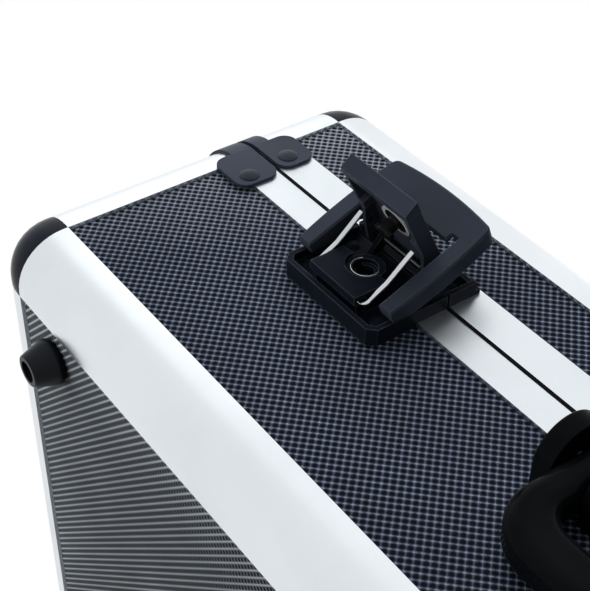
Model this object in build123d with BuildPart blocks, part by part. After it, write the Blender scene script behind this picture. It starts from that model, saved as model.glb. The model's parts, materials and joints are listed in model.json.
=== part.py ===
from build123d import *
from math import cos, radians, sin
import os

os.makedirs("parts", exist_ok=True)

# Case shell
case_width = 660.0
case_depth = 455.0
base_height = 110.0
lid_height = 64.0
foot_height = 11.0
parting_gap = 1.4

# Edge profiles and panels
edge_radius = 21.0
edge_leg = 23.0
edge_lip = 1.5
edge_wall = 1.6
flange = 1.2
panel_thickness = 6.0
panel_play = 0.15
slot_start = 16.5
web = 1.3
panel_end_gap = 0.3
seat_gap = 0.3

# Closing profiles at the parting
base_strip = 14.0
lid_strip = 16.2
inner_strip = 12.0
closing_web = 2.0
tongue_start = 3.2
tongue_width = 2.4
tongue_height = 3.0
groove_side = 1.0
groove_roof = 1.5

# Seam covers that wrap round the upright edges
cover_sheet = 1.3
cover_overlap = 4.0
base_cover_reach = 18.0
base_cover_height = 19.0
base_neck_height = 9.5
lid_cover_reach = 16.5
lid_cover_height = 16.5
lid_neck_height = 7.0
cover_corner = 5.5
cover_parting = 1.0
rivet_head_radius = 4.0
rivet_head_height = 1.8
rivet_shank = 1.2
stud_rim = 0.2
base_rivet_in = 12.1
base_rivet_drop = 12.6
lid_rivet_in = 9.8
lid_rivet_rise = 7.7

# Rubber feet
foot_in_x = 46.6
foot_in_y = 38.2
foot_top_radius = 10.5
foot_tip_radius = 6.4
foot_tip_round = 0.8
foot_shoulder = 2.8
foot_hollow_radius = 4.4
foot_hollow_depth = 6.5
foot_screw_head = 3.2
foot_screw_head_height = 2.4
foot_screw_shank = 1.6
screw_end_cover = 1.0

# Butt hinges at the rear
hinge_in_x = 120.0
hinge_width = 70.0
leaf_thickness = 1.5
leaf_height = 13.2
knuckle_radius = 4.0
knuckle_count = 5
knuckle_play = 0.3
hinge_pin_radius = 1.5
running_play = 0.05
hinge_axis_out = 4.3
leaf_rivet_radius = 2.6
leaf_rivet_height = 1.0
leaf_rivet_pitch = 26.0

# Carrying handle
handle_from_side = 215.5
handle_drop = 19.0
handle_pivot_out = 8.8
bracket_radius = 13.5
outer_cheek = 7.6
inner_cheek = 13.3
bracket_round = 1.2
hub_play = 0.8
handle_pin_radius = 3.0
handle_pin_depth = 4.5
grip_arm = 13.0
grip_thickness = 14.0
grip_drop = 44.0
grip_bar = 17.0
grip_corner = 20.0
grip_round = 5.0
handle_screw_radius = 2.0
handle_screw_head = 4.5
handle_screw_head_height = 1.2
handle_screw_depth = 10.0
handle_screw_drop = 8.5

# Foam
floor_foam = 20.0
wall_foam = 18.0
wall_foam_below_parting = 8.0
lid_foam = 26.0

# Latch tray, catch block and keeper
latch_from_side = 114.5
latch_half = 26.0
tray_length = 34.3
tray_floor = 2.0
tray_rim = 2.0
tray_rim_height = 5.7
tray_corner = 7.0
latch_parting = 0.6
block_half = 12.8
block_front = 32.0
block_body_front = 27.0
block_top = 12.4
block_lip = 2.0
block_lip_turn = 1.1
block_lip_drop = 1.4
block_step_half = 11.5
socket_at = 17.1
socket_boss = 7.2
socket_top = 11.0
socket_radius = 4.75
socket_ledge_top = 9.0
socket_ledge = 1.4
socket_neck = 3.4
socket_slot = 3.6
lug_inner = 10.5
lug_thickness = 2.0
lug_radius = 2.1
lug_foot = 7.0
keeper_height = 14.4
keeper_rim_height = 12.4
hook_bar_at = 10.7
hook_bar = 2.0
hook_bar_height = 7.0
latch_rivet_head = 2.8
latch_rivet_height = 1.2
latch_rivet_depth = 3.0
latch_rivet_x = 19.5
tray_rivet_low = 26.2
tray_rivet_high = 7.0
keeper_rivet_rise = 7.6

# Latch linkage: v runs up from the parting, h runs out from the front panel
lever_pin_v = 0.52
lever_pin_h = 8.93
crank = 8.0
crank_open = 112.0
lever_tilt = 64.0
hook_tilt = 21.3
link_depth = 5.5
link_from_tip = 24.7
pivot_radius = 1.25

# Latch cover, which is the hook link
hook_half_tip = 26.4
hook_half_mid = 27.5
hook_half_far = 26.0
hook_length = 47.3
hook_bow = 2.2
hook_depth = 7.2
hook_skin = 1.8
hook_cut_half = 20.0
hook_cut_length = 33.7
hook_corner = 3.0
hook_notch = 3.0
hook_pocket_half = 23.4
hook_nose_at = 45.2
hook_nose = 2.3
hook_nose_half = 22.0
hook_tip_relief = 2.6
hook_tip_run = 8.0
hook_boss = 2.8
hook_boss_end = 23.6

# Latch lever
lever_length = 31.9
lever_half = 17.0
lever_wall = 1.45
lever_skin = 1.8
lever_side = 6.2
lever_lip_half = 17.7
lever_lip = 5.5
lever_lip_slant = 1.6
lever_nose = 3.9
lever_nose_skin = 1.45
lever_nose_angle = 74.0
lever_ear = 2.8
spring_seat_from = 9.2
spring_seat_to = 13.0
spring_seat_low = 1.0

# Spring wire
wire_radius = 1.05
wire_half = 14.2
wire_bar_v = -28.6
wire_bar_h = 8.4
wire_kink_v = -19.1
wire_kink_h = 13.6
wire_end_v = -8.3
wire_end_h = 22.9
wire_bend = 2.2

# Lock in the lever
lock_from_link = 9.5
lock_head = 5.5
lock_head_height = 0.8
lock_barrel = 4.0
lock_disc = 7.0
lock_disc_height = 1.2
lock_plug = 2.75
lock_plug_length = 6.4
lock_wing = 4.3
lock_wing_width = 2.2
lock_wing_height = 1.9
key_slot = 5.0
key_slot_width = 0.9
key_slot_depth = 0.5

# Places that follow from the sizes
half_width = case_width / 2
link_pin_v = lever_pin_v + crank * cos(radians(crank_open))
link_pin_h = lever_pin_h + crank * sin(radians(crank_open))
lever_reach = lever_length * sin(radians(lever_tilt)) + link_depth * cos(radians(lever_tilt))
front_reach = link_pin_h + lever_reach - edge_lip
rear_reach = hinge_axis_out + knuckle_radius
front_y = (front_reach - rear_reach - case_depth) / 2
rear_y = front_y + case_depth
middle_y = (front_y + rear_y) / 2
panel_y = front_y + edge_lip
bottom_z = foot_height
parting_z = bottom_z + base_height
top_z = parting_z + lid_height
inner_depth = edge_lip + panel_thickness + panel_play + flange
panel_edge = slot_start + panel_end_gap
half_gap = parting_gap / 2
strip_half_x = half_width - edge_leg
foam_half_x = half_width - inner_depth - seat_gap
foam_front_y = front_y + inner_depth + seat_gap
foam_depth = case_depth - 2 * (inner_depth + seat_gap)
latch_x = half_width - latch_from_side
left_right = Plane.YZ
front_rear = Plane(origin=(0, middle_y, 0), z_dir=(0, 1, 0))
base_lid = Plane.XY.offset((bottom_z + top_z) / 2)


def save_node(part, name):
    part.label = name
    export_step(part, f"parts/{name}.step")


def box_between(low, high, mode=Mode.ADD):
    size = [b - a for a, b in zip(low, high)]
    with Locations(tuple(low)):
        Box(*size, align=(Align.MIN, Align.MIN, Align.MIN), mode=mode)


# A length of quarter-round edge profile, its corner at one point and its legs running inward
def edge_profile(corner, inward_a, inward_b, length):
    axis = Vector(inward_a).cross(Vector(inward_b))
    slot = panel_thickness + panel_play
    with BuildPart(mode=Mode.PRIVATE) as bar:
        with BuildSketch(Plane(origin=corner, x_dir=inward_a, z_dir=axis)) as section:
            Rectangle(edge_leg, edge_leg, align=(Align.MIN, Align.MIN))
            fillet(section.vertices().sort_by_distance((0, 0, 0))[0], edge_radius)
            with Locations((inner_depth, inner_depth)):
                Rectangle(edge_leg, edge_leg, align=(Align.MIN, Align.MIN), mode=Mode.SUBTRACT)
            with Locations((slot_start, edge_lip)):
                Rectangle(edge_leg, slot, align=(Align.MIN, Align.MIN), mode=Mode.SUBTRACT)
            with Locations((edge_lip, slot_start)):
                Rectangle(slot, edge_leg, align=(Align.MIN, Align.MIN), mode=Mode.SUBTRACT)
            with BuildSketch(mode=Mode.PRIVATE) as core:
                Rectangle(slot_start - web, slot_start - web, align=(Align.MIN, Align.MIN))
                with Locations((inner_depth - flange, inner_depth - flange)):
                    Rectangle(edge_leg, edge_leg, align=(Align.MIN, Align.MIN), mode=Mode.SUBTRACT)
                with Locations((edge_radius, edge_radius)):
                    Circle(edge_radius - edge_wall, mode=Mode.INTERSECT)
            add(core.sketch, mode=Mode.SUBTRACT)
        extrude(amount=length / 2, both=True)
    return bar.part


# A ball corner for the front left of the base, hollow where the panels and profiles meet
def ball_corner():
    low = (-half_width, front_y, bottom_z)
    with BuildPart(mode=Mode.PRIVATE) as ball:
        box_between(low, [c + edge_leg for c in low])
        outer = ball.edges().sort_by_distance(low)[0:3]
        fillet(outer, edge_radius)
        box_between([c + inner_depth for c in low], [c + edge_leg for c in low], Mode.SUBTRACT)
        for axis in range(3):
            start = [c + slot_start for c in low]
            end = [c + edge_leg for c in low]
            start[axis] = low[axis] + edge_lip
            end[axis] = low[axis] + edge_lip + panel_thickness + panel_play
            box_between(start, end, Mode.SUBTRACT)
    return ball.part


# A closing profile in its own section: depth inward from the outer face against height from the parting
def closing_section(strip, inner, block, tongue):
    sign = 1 if tongue else -1
    with BuildSketch(mode=Mode.PRIVATE) as section:
        with Locations((0, -sign * half_gap)):
            Rectangle(inner_depth, block, align=(Align.MIN, Align.MAX if tongue else Align.MIN))
            Rectangle(edge_lip, strip - half_gap, align=(Align.MIN, Align.MAX if tongue else Align.MIN))
        with Locations((inner_depth - flange, -sign * half_gap)):
            Rectangle(flange, inner - half_gap, align=(Align.MIN, Align.MAX if tongue else Align.MIN))
        if tongue:
            with Locations((tongue_start, -half_gap)):
                Rectangle(tongue_width, tongue_height, align=(Align.MIN, Align.MIN))
        else:
            with Locations((tongue_start - groove_side, half_gap)):
                width = tongue_width + 2 * groove_side
                depth = tongue_height - parting_gap + seat_gap
                Rectangle(width, depth, align=(Align.MIN, Align.MIN), mode=Mode.SUBTRACT)
    return section.sketch


base_closing = closing_section(base_strip, inner_strip, closing_web, True)
lid_block = tongue_height - parting_gap + seat_gap + groove_roof
lid_closing = closing_section(lid_strip, inner_strip + lid_block - closing_web, lid_block, False)
base_panel_top = parting_z - half_gap - closing_web - panel_end_gap
lid_panel_bottom = parting_z + half_gap + lid_block + panel_end_gap


def closing_frame(section):
    front = Plane(origin=(0, front_y, parting_z), x_dir=(0, 1, 0), z_dir=(1, 0, 0))
    side = Plane(origin=(-half_width, middle_y, parting_z), x_dir=(1, 0, 0), z_dir=(0, -1, 0))
    with BuildPart(mode=Mode.PRIVATE) as frame:
        with BuildSketch(front):
            add(section)
        extrude(amount=strip_half_x, both=True)
        with BuildSketch(side):
            add(section)
        extrude(amount=case_depth / 2 - edge_leg, both=True)
        mirror(about=left_right)
        mirror(about=front_rear)
    return frame.part


# Rivets and screws stand on planes that face out of the case
def facing(origin, normal):
    up = (0, 0, 1)
    across = Vector(up).cross(Vector(normal))
    return Plane(origin=origin, x_dir=across, z_dir=normal)


def stud(plane, head_radius, head_height, shank_radius, depth):
    crown = head_height * (1 - stud_rim)
    ball_radius = (head_radius ** 2 + crown ** 2) / (2 * crown)
    with BuildPart(mode=Mode.PRIVATE) as rivet:
        with BuildSketch(plane):
            Circle(head_radius)
        extrude(amount=head_height)
        with Locations(plane.offset(head_height - ball_radius)):
            Sphere(ball_radius, mode=Mode.INTERSECT)
        with BuildSketch(plane):
            Circle(shank_radius)
        extrude(amount=-depth)
    return rivet.part


def peg(plane, radius, depth):
    with BuildPart(mode=Mode.PRIVATE) as rod:
        with BuildSketch(plane):
            Circle(radius)
        extrude(amount=-depth)
    return rod.part


# Rivet places on the front left corner; the other corners are mirrored
seam_front = (0, -1, 0)
seam_side = (-1, 0, 0)
seam_x = -half_width + edge_leg
seam_y = front_y + edge_leg
cover_x = -half_width - cover_sheet
cover_y = front_y - cover_sheet
base_rivet_z = parting_z - base_rivet_drop
lid_rivet_z = parting_z + lid_rivet_rise
base_seam_planes = [
    facing((seam_x + base_rivet_in, cover_y, base_rivet_z), seam_front),
    facing((cover_x, seam_y + base_rivet_in, base_rivet_z), seam_side),
]
lid_seam_planes = [
    facing((seam_x + lid_rivet_in, cover_y, lid_rivet_z), seam_front),
    facing((cover_x, seam_y + lid_rivet_in, lid_rivet_z), seam_side),
]
seam_depth = cover_sheet + edge_lip


def seam_rivets(planes):
    with BuildPart(mode=Mode.PRIVATE) as rivets:
        for plane in planes:
            add(stud(plane, rivet_head_radius, rivet_head_height, rivet_shank, seam_depth))
        mirror(about=left_right)
        mirror(about=front_rear)
    return rivets.part


def seam_holes(planes):
    with BuildPart(mode=Mode.PRIVATE) as pegs:
        for plane in planes:
            add(peg(plane, rivet_shank, seam_depth))
        mirror(about=left_right)
        mirror(about=front_rear)
    return pegs.part


# A seam cover: a flared plate on each face and a neck round the edge
def seam_cover(reach, height, neck, low_z, neck_low_z, planes):
    arc_x = -half_width + edge_radius
    arc_y = front_y + edge_radius
    far = edge_leg + reach
    near = edge_leg - cover_overlap
    centre_z = low_z + height / 2
    with BuildPart(mode=Mode.PRIVATE) as cover:
        with BuildSketch(Plane.XY.offset(neck_low_z)):
            with Locations((arc_x, arc_y)):
                Circle(edge_radius + cover_sheet)
                Circle(edge_radius, mode=Mode.SUBTRACT)
                Rectangle(case_width, case_depth, align=(Align.MAX, Align.MAX), mode=Mode.INTERSECT)
        extrude(amount=neck)
        with BuildSketch(facing((-half_width + (near + far) / 2, front_y, centre_z), seam_front)):
            RectangleRounded(far - near, height, cover_corner)
        extrude(amount=cover_sheet)
        with BuildSketch(facing((-half_width, front_y + (near + far) / 2, centre_z), seam_side)):
            RectangleRounded(far - near, height, cover_corner)
        extrude(amount=cover_sheet)
        box_between(
            (arc_x, front_y - cover_sheet, neck_low_z),
            (-half_width + near + cover_corner, front_y, neck_low_z + neck),
        )
        box_between(
            (-half_width - cover_sheet, arc_y, neck_low_z),
            (-half_width, front_y + near + cover_corner, neck_low_z + neck),
        )
        with BuildSketch(Plane.XY.offset(low_z)):
            with Locations((arc_x, arc_y)):
                Circle(edge_radius)
        extrude(amount=height, mode=Mode.SUBTRACT)
        for plane in planes:
            add(peg(plane, rivet_shank, cover_sheet), mode=Mode.SUBTRACT)
        mirror(about=left_right)
        mirror(about=front_rear)
    return cover.part


# Latch places: v up from the parting, h out from the front panel
def latch_side(x0, v=0.0, h=0.0, tilt=0.0):
    angle = radians(tilt)
    along = (0, -sin(angle), cos(angle))
    return Plane(origin=(x0, panel_y - h, parting_z + v), x_dir=along, z_dir=(1, 0, 0))


def latch_face(x0, h=0.0):
    return Plane(origin=(x0, panel_y - h, parting_z), x_dir=(1, 0, 0), z_dir=(0, -1, 0))


tray_rivets = [
    (sx * latch_rivet_x, -v)
    for sx in (-1, 1)
    for v in (tray_rivet_low, tray_rivet_high)
]
keeper_rivets = [(sx * latch_rivet_x, keeper_rivet_rise) for sx in (-1, 1)]
latch_floor = edge_lip + tray_floor


def latch_pegs(places):
    with BuildPart(mode=Mode.PRIVATE) as pegs:
        for x0 in (-latch_x, latch_x):
            with BuildSketch(latch_face(x0, latch_floor)):
                with Locations(*places):
                    Circle(rivet_shank)
            extrude(amount=-latch_floor - latch_rivet_depth)
    return pegs.part


def latch_rivet_set(places):
    with BuildPart(mode=Mode.PRIVATE) as rivets:
        for x0 in (-latch_x, latch_x):
            for x, v in places:
                plane = latch_face(x0 + x, latch_floor)
                plane.origin = plane.origin + Vector(0, 0, v)
                depth = latch_floor + latch_rivet_depth
                add(stud(plane, latch_rivet_head, latch_rivet_height, rivet_shank, depth))
    return rivets.part


# Hinge places
hinge_axis_y = rear_y + hinge_axis_out
hinge_centres = [-(half_width - hinge_in_x), half_width - hinge_in_x]
leaf_mid = (knuckle_radius + knuckle_play + leaf_height) / 2
leaf_rivet_planes = {
    side: [
        facing((x0 + k * leaf_rivet_pitch, rear_y + leaf_thickness, parting_z + side * leaf_mid), (0, 1, 0))
        for x0 in hinge_centres
        for k in (-1, 0, 1)
    ]
    for side in (-1, 1)
}
leaf_rivet_depth = leaf_thickness + edge_lip


def hinge_section(x0):
    return Plane(origin=(x0, hinge_axis_y, parting_z), x_dir=(0, 1, 0), z_dir=(1, 0, 0))


def hinge_pegs(side):
    with BuildPart(mode=Mode.PRIVATE) as pegs:
        for plane in leaf_rivet_planes[side]:
            add(peg(plane, rivet_shank, leaf_rivet_depth))
    return pegs.part


def hinge_leaf(x0, side):
    pitch = hinge_width / knuckle_count
    own = range(0, knuckle_count, 2) if side < 0 else range(1, knuckle_count, 2)
    spans = [(x0 - hinge_width / 2 + k * pitch, x0 - hinge_width / 2 + (k + 1) * pitch) for k in own]
    clear = knuckle_radius + knuckle_play
    with BuildPart(mode=Mode.PRIVATE) as leaf:
        with BuildSketch(facing((x0, rear_y, parting_z + side * (clear + leaf_height) / 2), (0, 1, 0))):
            RectangleRounded(hinge_width, leaf_height - clear, 1.5)
        extrude(amount=leaf_thickness)
        for low, high in spans:
            low_x = low + knuckle_play / 2
            high_x = high - knuckle_play / 2
            ends = sorted((parting_z, parting_z + side * (clear + 2.0)))
            box_between((low_x, rear_y, ends[0]), (high_x, rear_y + leaf_thickness, ends[1]))
            with BuildSketch(hinge_section(low_x)):
                Circle(knuckle_radius)
            extrude(amount=high_x - low_x)
        with BuildSketch(hinge_section(x0)):
            Circle(hinge_pin_radius + (0 if side < 0 else running_play))
        extrude(amount=hinge_width, both=True, mode=Mode.SUBTRACT)
        for plane in leaf_rivet_planes[side]:
            add(peg(plane, rivet_shank, leaf_thickness), mode=Mode.SUBTRACT)
    return leaf.part


def hinge_rivet_set(side):
    with BuildPart(mode=Mode.PRIVATE) as rivets:
        for plane in leaf_rivet_planes[side]:
            add(stud(plane, leaf_rivet_radius, leaf_rivet_height, rivet_shank, leaf_rivet_depth))
    return rivets.part


# Handle places
bracket_outer_x = half_width - handle_from_side
slot_outer_x = bracket_outer_x - outer_cheek
arm_outer = slot_outer_x - seat_gap
slot_inner_x = arm_outer - grip_arm - seat_gap
bracket_inner_x = slot_inner_x - inner_cheek
bracket_width = bracket_outer_x - bracket_inner_x
pivot_y = panel_y - handle_pivot_out
pivot_z = parting_z - handle_drop
handle_screw_y = panel_y + panel_thickness
handle_screw_z = pivot_z - handle_screw_drop
handle_screw_planes = [
    facing((sx * screw_x, handle_screw_y, handle_screw_z), (0, 1, 0))
    for sx in (-1, 1)
    for screw_x in (bracket_outer_x - outer_cheek / 2, bracket_inner_x + inner_cheek / 2)
]


def handle_section(x0):
    return Plane(origin=(x0, pivot_y, pivot_z), x_dir=(0, 1, 0), z_dir=(1, 0, 0))


# Base floor panel, drilled for the foot screws
foot_places = [
    (sx * (half_width - foot_in_x), middle_y + sy * (case_depth / 2 - foot_in_y))
    for sx in (-1, 1)
    for sy in (-1, 1)
]
with BuildPart() as base_floor_panel:
    box_between(
        (-half_width + panel_edge, front_y + panel_edge, bottom_z + edge_lip),
        (half_width - panel_edge, rear_y - panel_edge, bottom_z + edge_lip + panel_thickness),
    )
    with BuildSketch(Plane.XY.offset(bottom_z + edge_lip)):
        with Locations(*foot_places):
            Circle(foot_screw_shank)
    extrude(amount=panel_thickness - screw_end_cover, mode=Mode.SUBTRACT)
save_node(base_floor_panel.part, "base_floor_panel")

# Base front panel, drilled for the latches and the handle
with BuildPart() as base_front_panel:
    box_between(
        (-half_width + panel_edge, panel_y, bottom_z + panel_edge),
        (half_width - panel_edge, panel_y + panel_thickness, base_panel_top),
    )
    add(latch_pegs(tray_rivets), mode=Mode.SUBTRACT)
    for plane in handle_screw_planes:
        add(peg(plane, handle_screw_radius, panel_thickness), mode=Mode.SUBTRACT)
save_node(base_front_panel.part, "base_front_panel")

# Base rear panel
with BuildPart() as base_rear_panel:
    box_between(
        (-half_width + panel_edge, rear_y - edge_lip - panel_thickness, bottom_z + panel_edge),
        (half_width - panel_edge, rear_y - edge_lip, base_panel_top),
    )
save_node(base_rear_panel.part, "base_rear_panel")

# Base side panels
for side, sx in (("left", -1), ("right", 1)):
    outer_x = sx * (half_width - edge_lip)
    inner_x = sx * (half_width - edge_lip - panel_thickness)
    with BuildPart() as base_side_panel:
        box_between(
            (min(outer_x, inner_x), front_y + panel_edge, bottom_z + panel_edge),
            (max(outer_x, inner_x), rear_y - panel_edge, base_panel_top),
        )
    save_node(base_side_panel.part, f"base_side_panel_{side}")

# Bottom edge profiles between the ball corners
with BuildPart() as base_bottom_profiles:
    add(edge_profile((0, front_y, bottom_z), (0, 1, 0), (0, 0, 1), case_width - 2 * edge_leg))
    add(edge_profile((-half_width, middle_y, bottom_z), (0, 0, 1), (1, 0, 0), case_depth - 2 * edge_leg))
    mirror(about=left_right)
    mirror(about=front_rear)
save_node(base_bottom_profiles.part, "base_bottom_profiles")

# Base upright profiles from the ball corners to the parting
base_upright = base_height - edge_leg - half_gap
with BuildPart() as base_upright_profiles:
    upright_z = bottom_z + edge_leg + base_upright / 2
    add(edge_profile((-half_width, front_y, upright_z), (1, 0, 0), (0, 1, 0), base_upright))
    mirror(about=left_right)
    mirror(about=front_rear)
save_node(base_upright_profiles.part, "base_upright_profiles")

# Base closing profiles with the tongue, drilled for the rivets
with BuildPart() as base_closing_profiles:
    add(closing_frame(base_closing))
    add(seam_holes(base_seam_planes), mode=Mode.SUBTRACT)
    add(latch_pegs(tray_rivets), mode=Mode.SUBTRACT)
    add(hinge_pegs(-1), mode=Mode.SUBTRACT)
save_node(base_closing_profiles.part, "base_closing_profiles")

# Base ball corners
with BuildPart() as base_ball_corners:
    add(ball_corner())
    mirror(about=left_right)
    mirror(about=front_rear)
save_node(base_ball_corners.part, "base_ball_corners")

# Base seam covers and their rivets
base_cover_low = parting_z - cover_parting - base_cover_height
base_neck_low = parting_z - cover_parting - base_neck_height
with BuildPart() as base_seam_covers:
    add(seam_cover(base_cover_reach, base_cover_height, base_neck_height,
                   base_cover_low, base_neck_low, base_seam_planes))
save_node(base_seam_covers.part, "base_seam_covers")

with BuildPart() as base_seam_rivets:
    add(seam_rivets(base_seam_planes))
save_node(base_seam_rivets.part, "base_seam_rivets")

# Rubber feet with a hollow tip
for number, (foot_x, foot_y) in enumerate(foot_places, start=1):
    with BuildPart() as rubber_foot:
        with BuildSketch(Plane.XY.offset(bottom_z + edge_lip)):
            with Locations((foot_x, foot_y)):
                Circle(foot_top_radius)
        with BuildSketch(Plane.XY):
            with Locations((foot_x, foot_y)):
                Circle(foot_tip_radius)
        loft()
        fillet(rubber_foot.edges().group_by(Axis.Z)[0], foot_tip_round)
        fillet(rubber_foot.edges().group_by(Axis.Z)[-1], foot_shoulder)
        with BuildSketch(Plane.XY):
            with Locations((foot_x, foot_y)):
                Circle(foot_hollow_radius)
        extrude(amount=foot_hollow_depth, mode=Mode.SUBTRACT)
        with BuildSketch(Plane.XY):
            with Locations((foot_x, foot_y)):
                Circle(foot_screw_shank)
        extrude(amount=bottom_z + edge_lip, mode=Mode.SUBTRACT)
    save_node(rubber_foot.part, f"rubber_foot_{number}")

# Screws through the feet into the floor panel
with BuildPart() as foot_screws:
    with BuildSketch(Plane.XY.offset(foot_hollow_depth - foot_screw_head_height)):
        with Locations(*foot_places):
            Circle(foot_screw_head)
    extrude(amount=foot_screw_head_height)
    with BuildSketch(Plane.XY.offset(foot_hollow_depth)):
        with Locations(*foot_places):
            Circle(foot_screw_shank)
    extrude(amount=bottom_z + edge_lip + panel_thickness - screw_end_cover - foot_hollow_depth)
    with BuildSketch(Plane.XY.offset(foot_hollow_depth - foot_screw_head_height)):
        with Locations(*foot_places):
            Rectangle(foot_screw_head, 0.8)
            Rectangle(0.8, foot_screw_head)
    extrude(amount=foot_screw_head_height / 2, mode=Mode.SUBTRACT)
save_node(foot_screws.part, "foot_screws")

# Handle brackets: an arch over the grip's pivot, relieved over the closing strip, with a slot for the arm
strip_low_z = parting_z - base_strip - seat_gap
slot_width = slot_outer_x - slot_inner_x
for side, sx in (("left", -1), ("right", 1)):
    with BuildPart() as handle_bracket:
        with BuildSketch(handle_section(sx * bracket_inner_x)):
            Circle(bracket_radius)
            Rectangle(handle_pivot_out, 2 * bracket_radius, align=(Align.MIN, Align.CENTER))
            with Locations((handle_pivot_out, strip_low_z - pivot_z)):
                Rectangle(edge_lip, 2 * bracket_radius, align=(Align.MAX, Align.MIN), mode=Mode.SUBTRACT)
            with Locations((handle_pivot_out, 0)):
                Rectangle(bracket_radius, 4 * bracket_radius,
                          align=(Align.MIN, Align.CENTER), mode=Mode.SUBTRACT)
        extrude(amount=sx * bracket_width)
        end_arcs = handle_bracket.edges().filter_by(GeomType.CIRCLE)
        fillet(end_arcs, bracket_round)
        with BuildSketch(handle_section(sx * slot_inner_x)):
            Circle(grip_thickness / 2 + hub_play)
            Rectangle(4 * bracket_radius, 2 * bracket_radius, align=(Align.CENTER, Align.MAX))
            Rectangle(2 * bracket_radius, grip_thickness / 2 + hub_play, align=(Align.MAX, Align.MIN))
        extrude(amount=sx * slot_width, mode=Mode.SUBTRACT)
        with BuildSketch(handle_section(sx * bracket_inner_x)):
            Circle(handle_pin_radius + running_play)
        extrude(amount=sx * (bracket_width - outer_cheek + handle_pin_depth + seat_gap), mode=Mode.SUBTRACT)
        for plane in handle_screw_planes:
            add(peg(plane, handle_screw_radius, panel_thickness + handle_screw_depth), mode=Mode.SUBTRACT)
    save_node(handle_bracket.part, f"handle_bracket_{side}")

# Handle screws driven from inside the case
with BuildPart() as handle_screws:
    for plane in handle_screw_planes:
        depth = panel_thickness + handle_screw_depth
        add(stud(plane, handle_screw_head, handle_screw_head_height, handle_screw_radius, depth))
save_node(handle_screws.part, "handle_screws")

# Handle grip, hanging folded down, with round hubs on the pivot
grip_plane = Plane(origin=(0, pivot_y, pivot_z), x_dir=(1, 0, 0), z_dir=(0, -1, 0))
with BuildPart() as handle_grip:
    with BuildSketch(grip_plane) as outline:
        with Locations((0, -grip_drop)):
            Rectangle(2 * arm_outer, grip_drop + grip_thickness, align=(Align.CENTER, Align.MIN))
        with Locations((0, grip_bar - grip_drop)):
            Rectangle(2 * (arm_outer - grip_arm), grip_drop + grip_thickness,
                      align=(Align.CENTER, Align.MIN), mode=Mode.SUBTRACT)
        low_outer = outline.vertices().group_by(Axis.Y)[0]
        fillet(low_outer, grip_corner)
        low_inner = outline.vertices().filter_by(lambda p: abs(abs(p.X) - (arm_outer - grip_arm)) < 0.1)
        fillet(low_inner.sort_by(Axis.Y)[0:2], grip_corner / 2)
    extrude(amount=grip_thickness / 2, both=True)
    long_edges = handle_grip.edges().filter_by(lambda e: e.center().Z < pivot_z + grip_thickness / 2 - 0.5)
    fillet(long_edges.filter_by(Axis.Y, reverse=True), grip_round)
    with BuildSketch(handle_section(0)):
        Circle(grip_thickness / 2)
        Rectangle(grip_thickness, grip_drop, align=(Align.CENTER, Align.MAX))
    extrude(amount=arm_outer, both=True, mode=Mode.INTERSECT)
    with BuildSketch(handle_section(0)):
        Circle(handle_pin_radius)
    extrude(amount=arm_outer, both=True, mode=Mode.SUBTRACT)
save_node(handle_grip.part, "handle_grip")

with BuildPart() as handle_pins:
    for sx in (-1, 1):
        with BuildSketch(handle_section(sx * bracket_inner_x)):
            Circle(handle_pin_radius)
        extrude(amount=sx * (slot_outer_x - bracket_inner_x + handle_pin_depth))
save_node(handle_pins.part, "handle_pins")

# Hinge leaves, pins and rivets
for side, x0 in zip(("left", "right"), hinge_centres):
    with BuildPart() as base_leaf:
        add(hinge_leaf(x0, -1))
    save_node(base_leaf.part, f"hinge_base_leaf_{side}")
    with BuildPart() as lid_leaf:
        add(hinge_leaf(x0, 1))
    save_node(lid_leaf.part, f"hinge_lid_leaf_{side}")

with BuildPart() as hinge_pins:
    for x0 in hinge_centres:
        with BuildSketch(hinge_section(x0)):
            Circle(hinge_pin_radius)
        extrude(amount=hinge_width / 2, both=True)
save_node(hinge_pins.part, "hinge_pins")

with BuildPart() as hinge_base_rivets:
    add(hinge_rivet_set(-1))
save_node(hinge_base_rivets.part, "hinge_base_rivets")

with BuildPart() as hinge_lid_rivets:
    add(hinge_rivet_set(1))
save_node(hinge_lid_rivets.part, "hinge_lid_rivets")

# Foam lining of the base
floor_foam_low = bottom_z + inner_depth + seat_gap
floor_foam_top = floor_foam_low + floor_foam
foam_low = (-foam_half_x, foam_front_y, floor_foam_low)
with BuildPart() as base_floor_foam:
    box_between(foam_low, (foam_half_x, foam_front_y + foam_depth, floor_foam_top))
save_node(base_floor_foam.part, "base_floor_foam")

with BuildPart() as base_wall_foam:
    wall_top = parting_z - wall_foam_below_parting
    box_between(
        (-foam_half_x, foam_front_y, floor_foam_top + seat_gap),
        (foam_half_x, foam_front_y + foam_depth, wall_top),
    )
    box_between(
        (-foam_half_x + wall_foam, foam_front_y + wall_foam, floor_foam_top + seat_gap),
        (foam_half_x - wall_foam, foam_front_y + foam_depth - wall_foam, wall_top),
        Mode.SUBTRACT,
    )
save_node(base_wall_foam.part, "base_wall_foam")

# Lid panels
with BuildPart() as lid_top_panel:
    box_between(
        (-half_width + panel_edge, front_y + panel_edge, top_z - edge_lip - panel_thickness),
        (half_width - panel_edge, rear_y - panel_edge, top_z - edge_lip),
    )
save_node(lid_top_panel.part, "lid_top_panel")

with BuildPart() as lid_front_panel:
    box_between(
        (-half_width + panel_edge, panel_y, lid_panel_bottom),
        (half_width - panel_edge, panel_y + panel_thickness, top_z - panel_edge),
    )
    add(latch_pegs(keeper_rivets), mode=Mode.SUBTRACT)
save_node(lid_front_panel.part, "lid_front_panel")

with BuildPart() as lid_rear_panel:
    box_between(
        (-half_width + panel_edge, rear_y - edge_lip - panel_thickness, lid_panel_bottom),
        (half_width - panel_edge, rear_y - edge_lip, top_z - panel_edge),
    )
save_node(lid_rear_panel.part, "lid_rear_panel")

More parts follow.
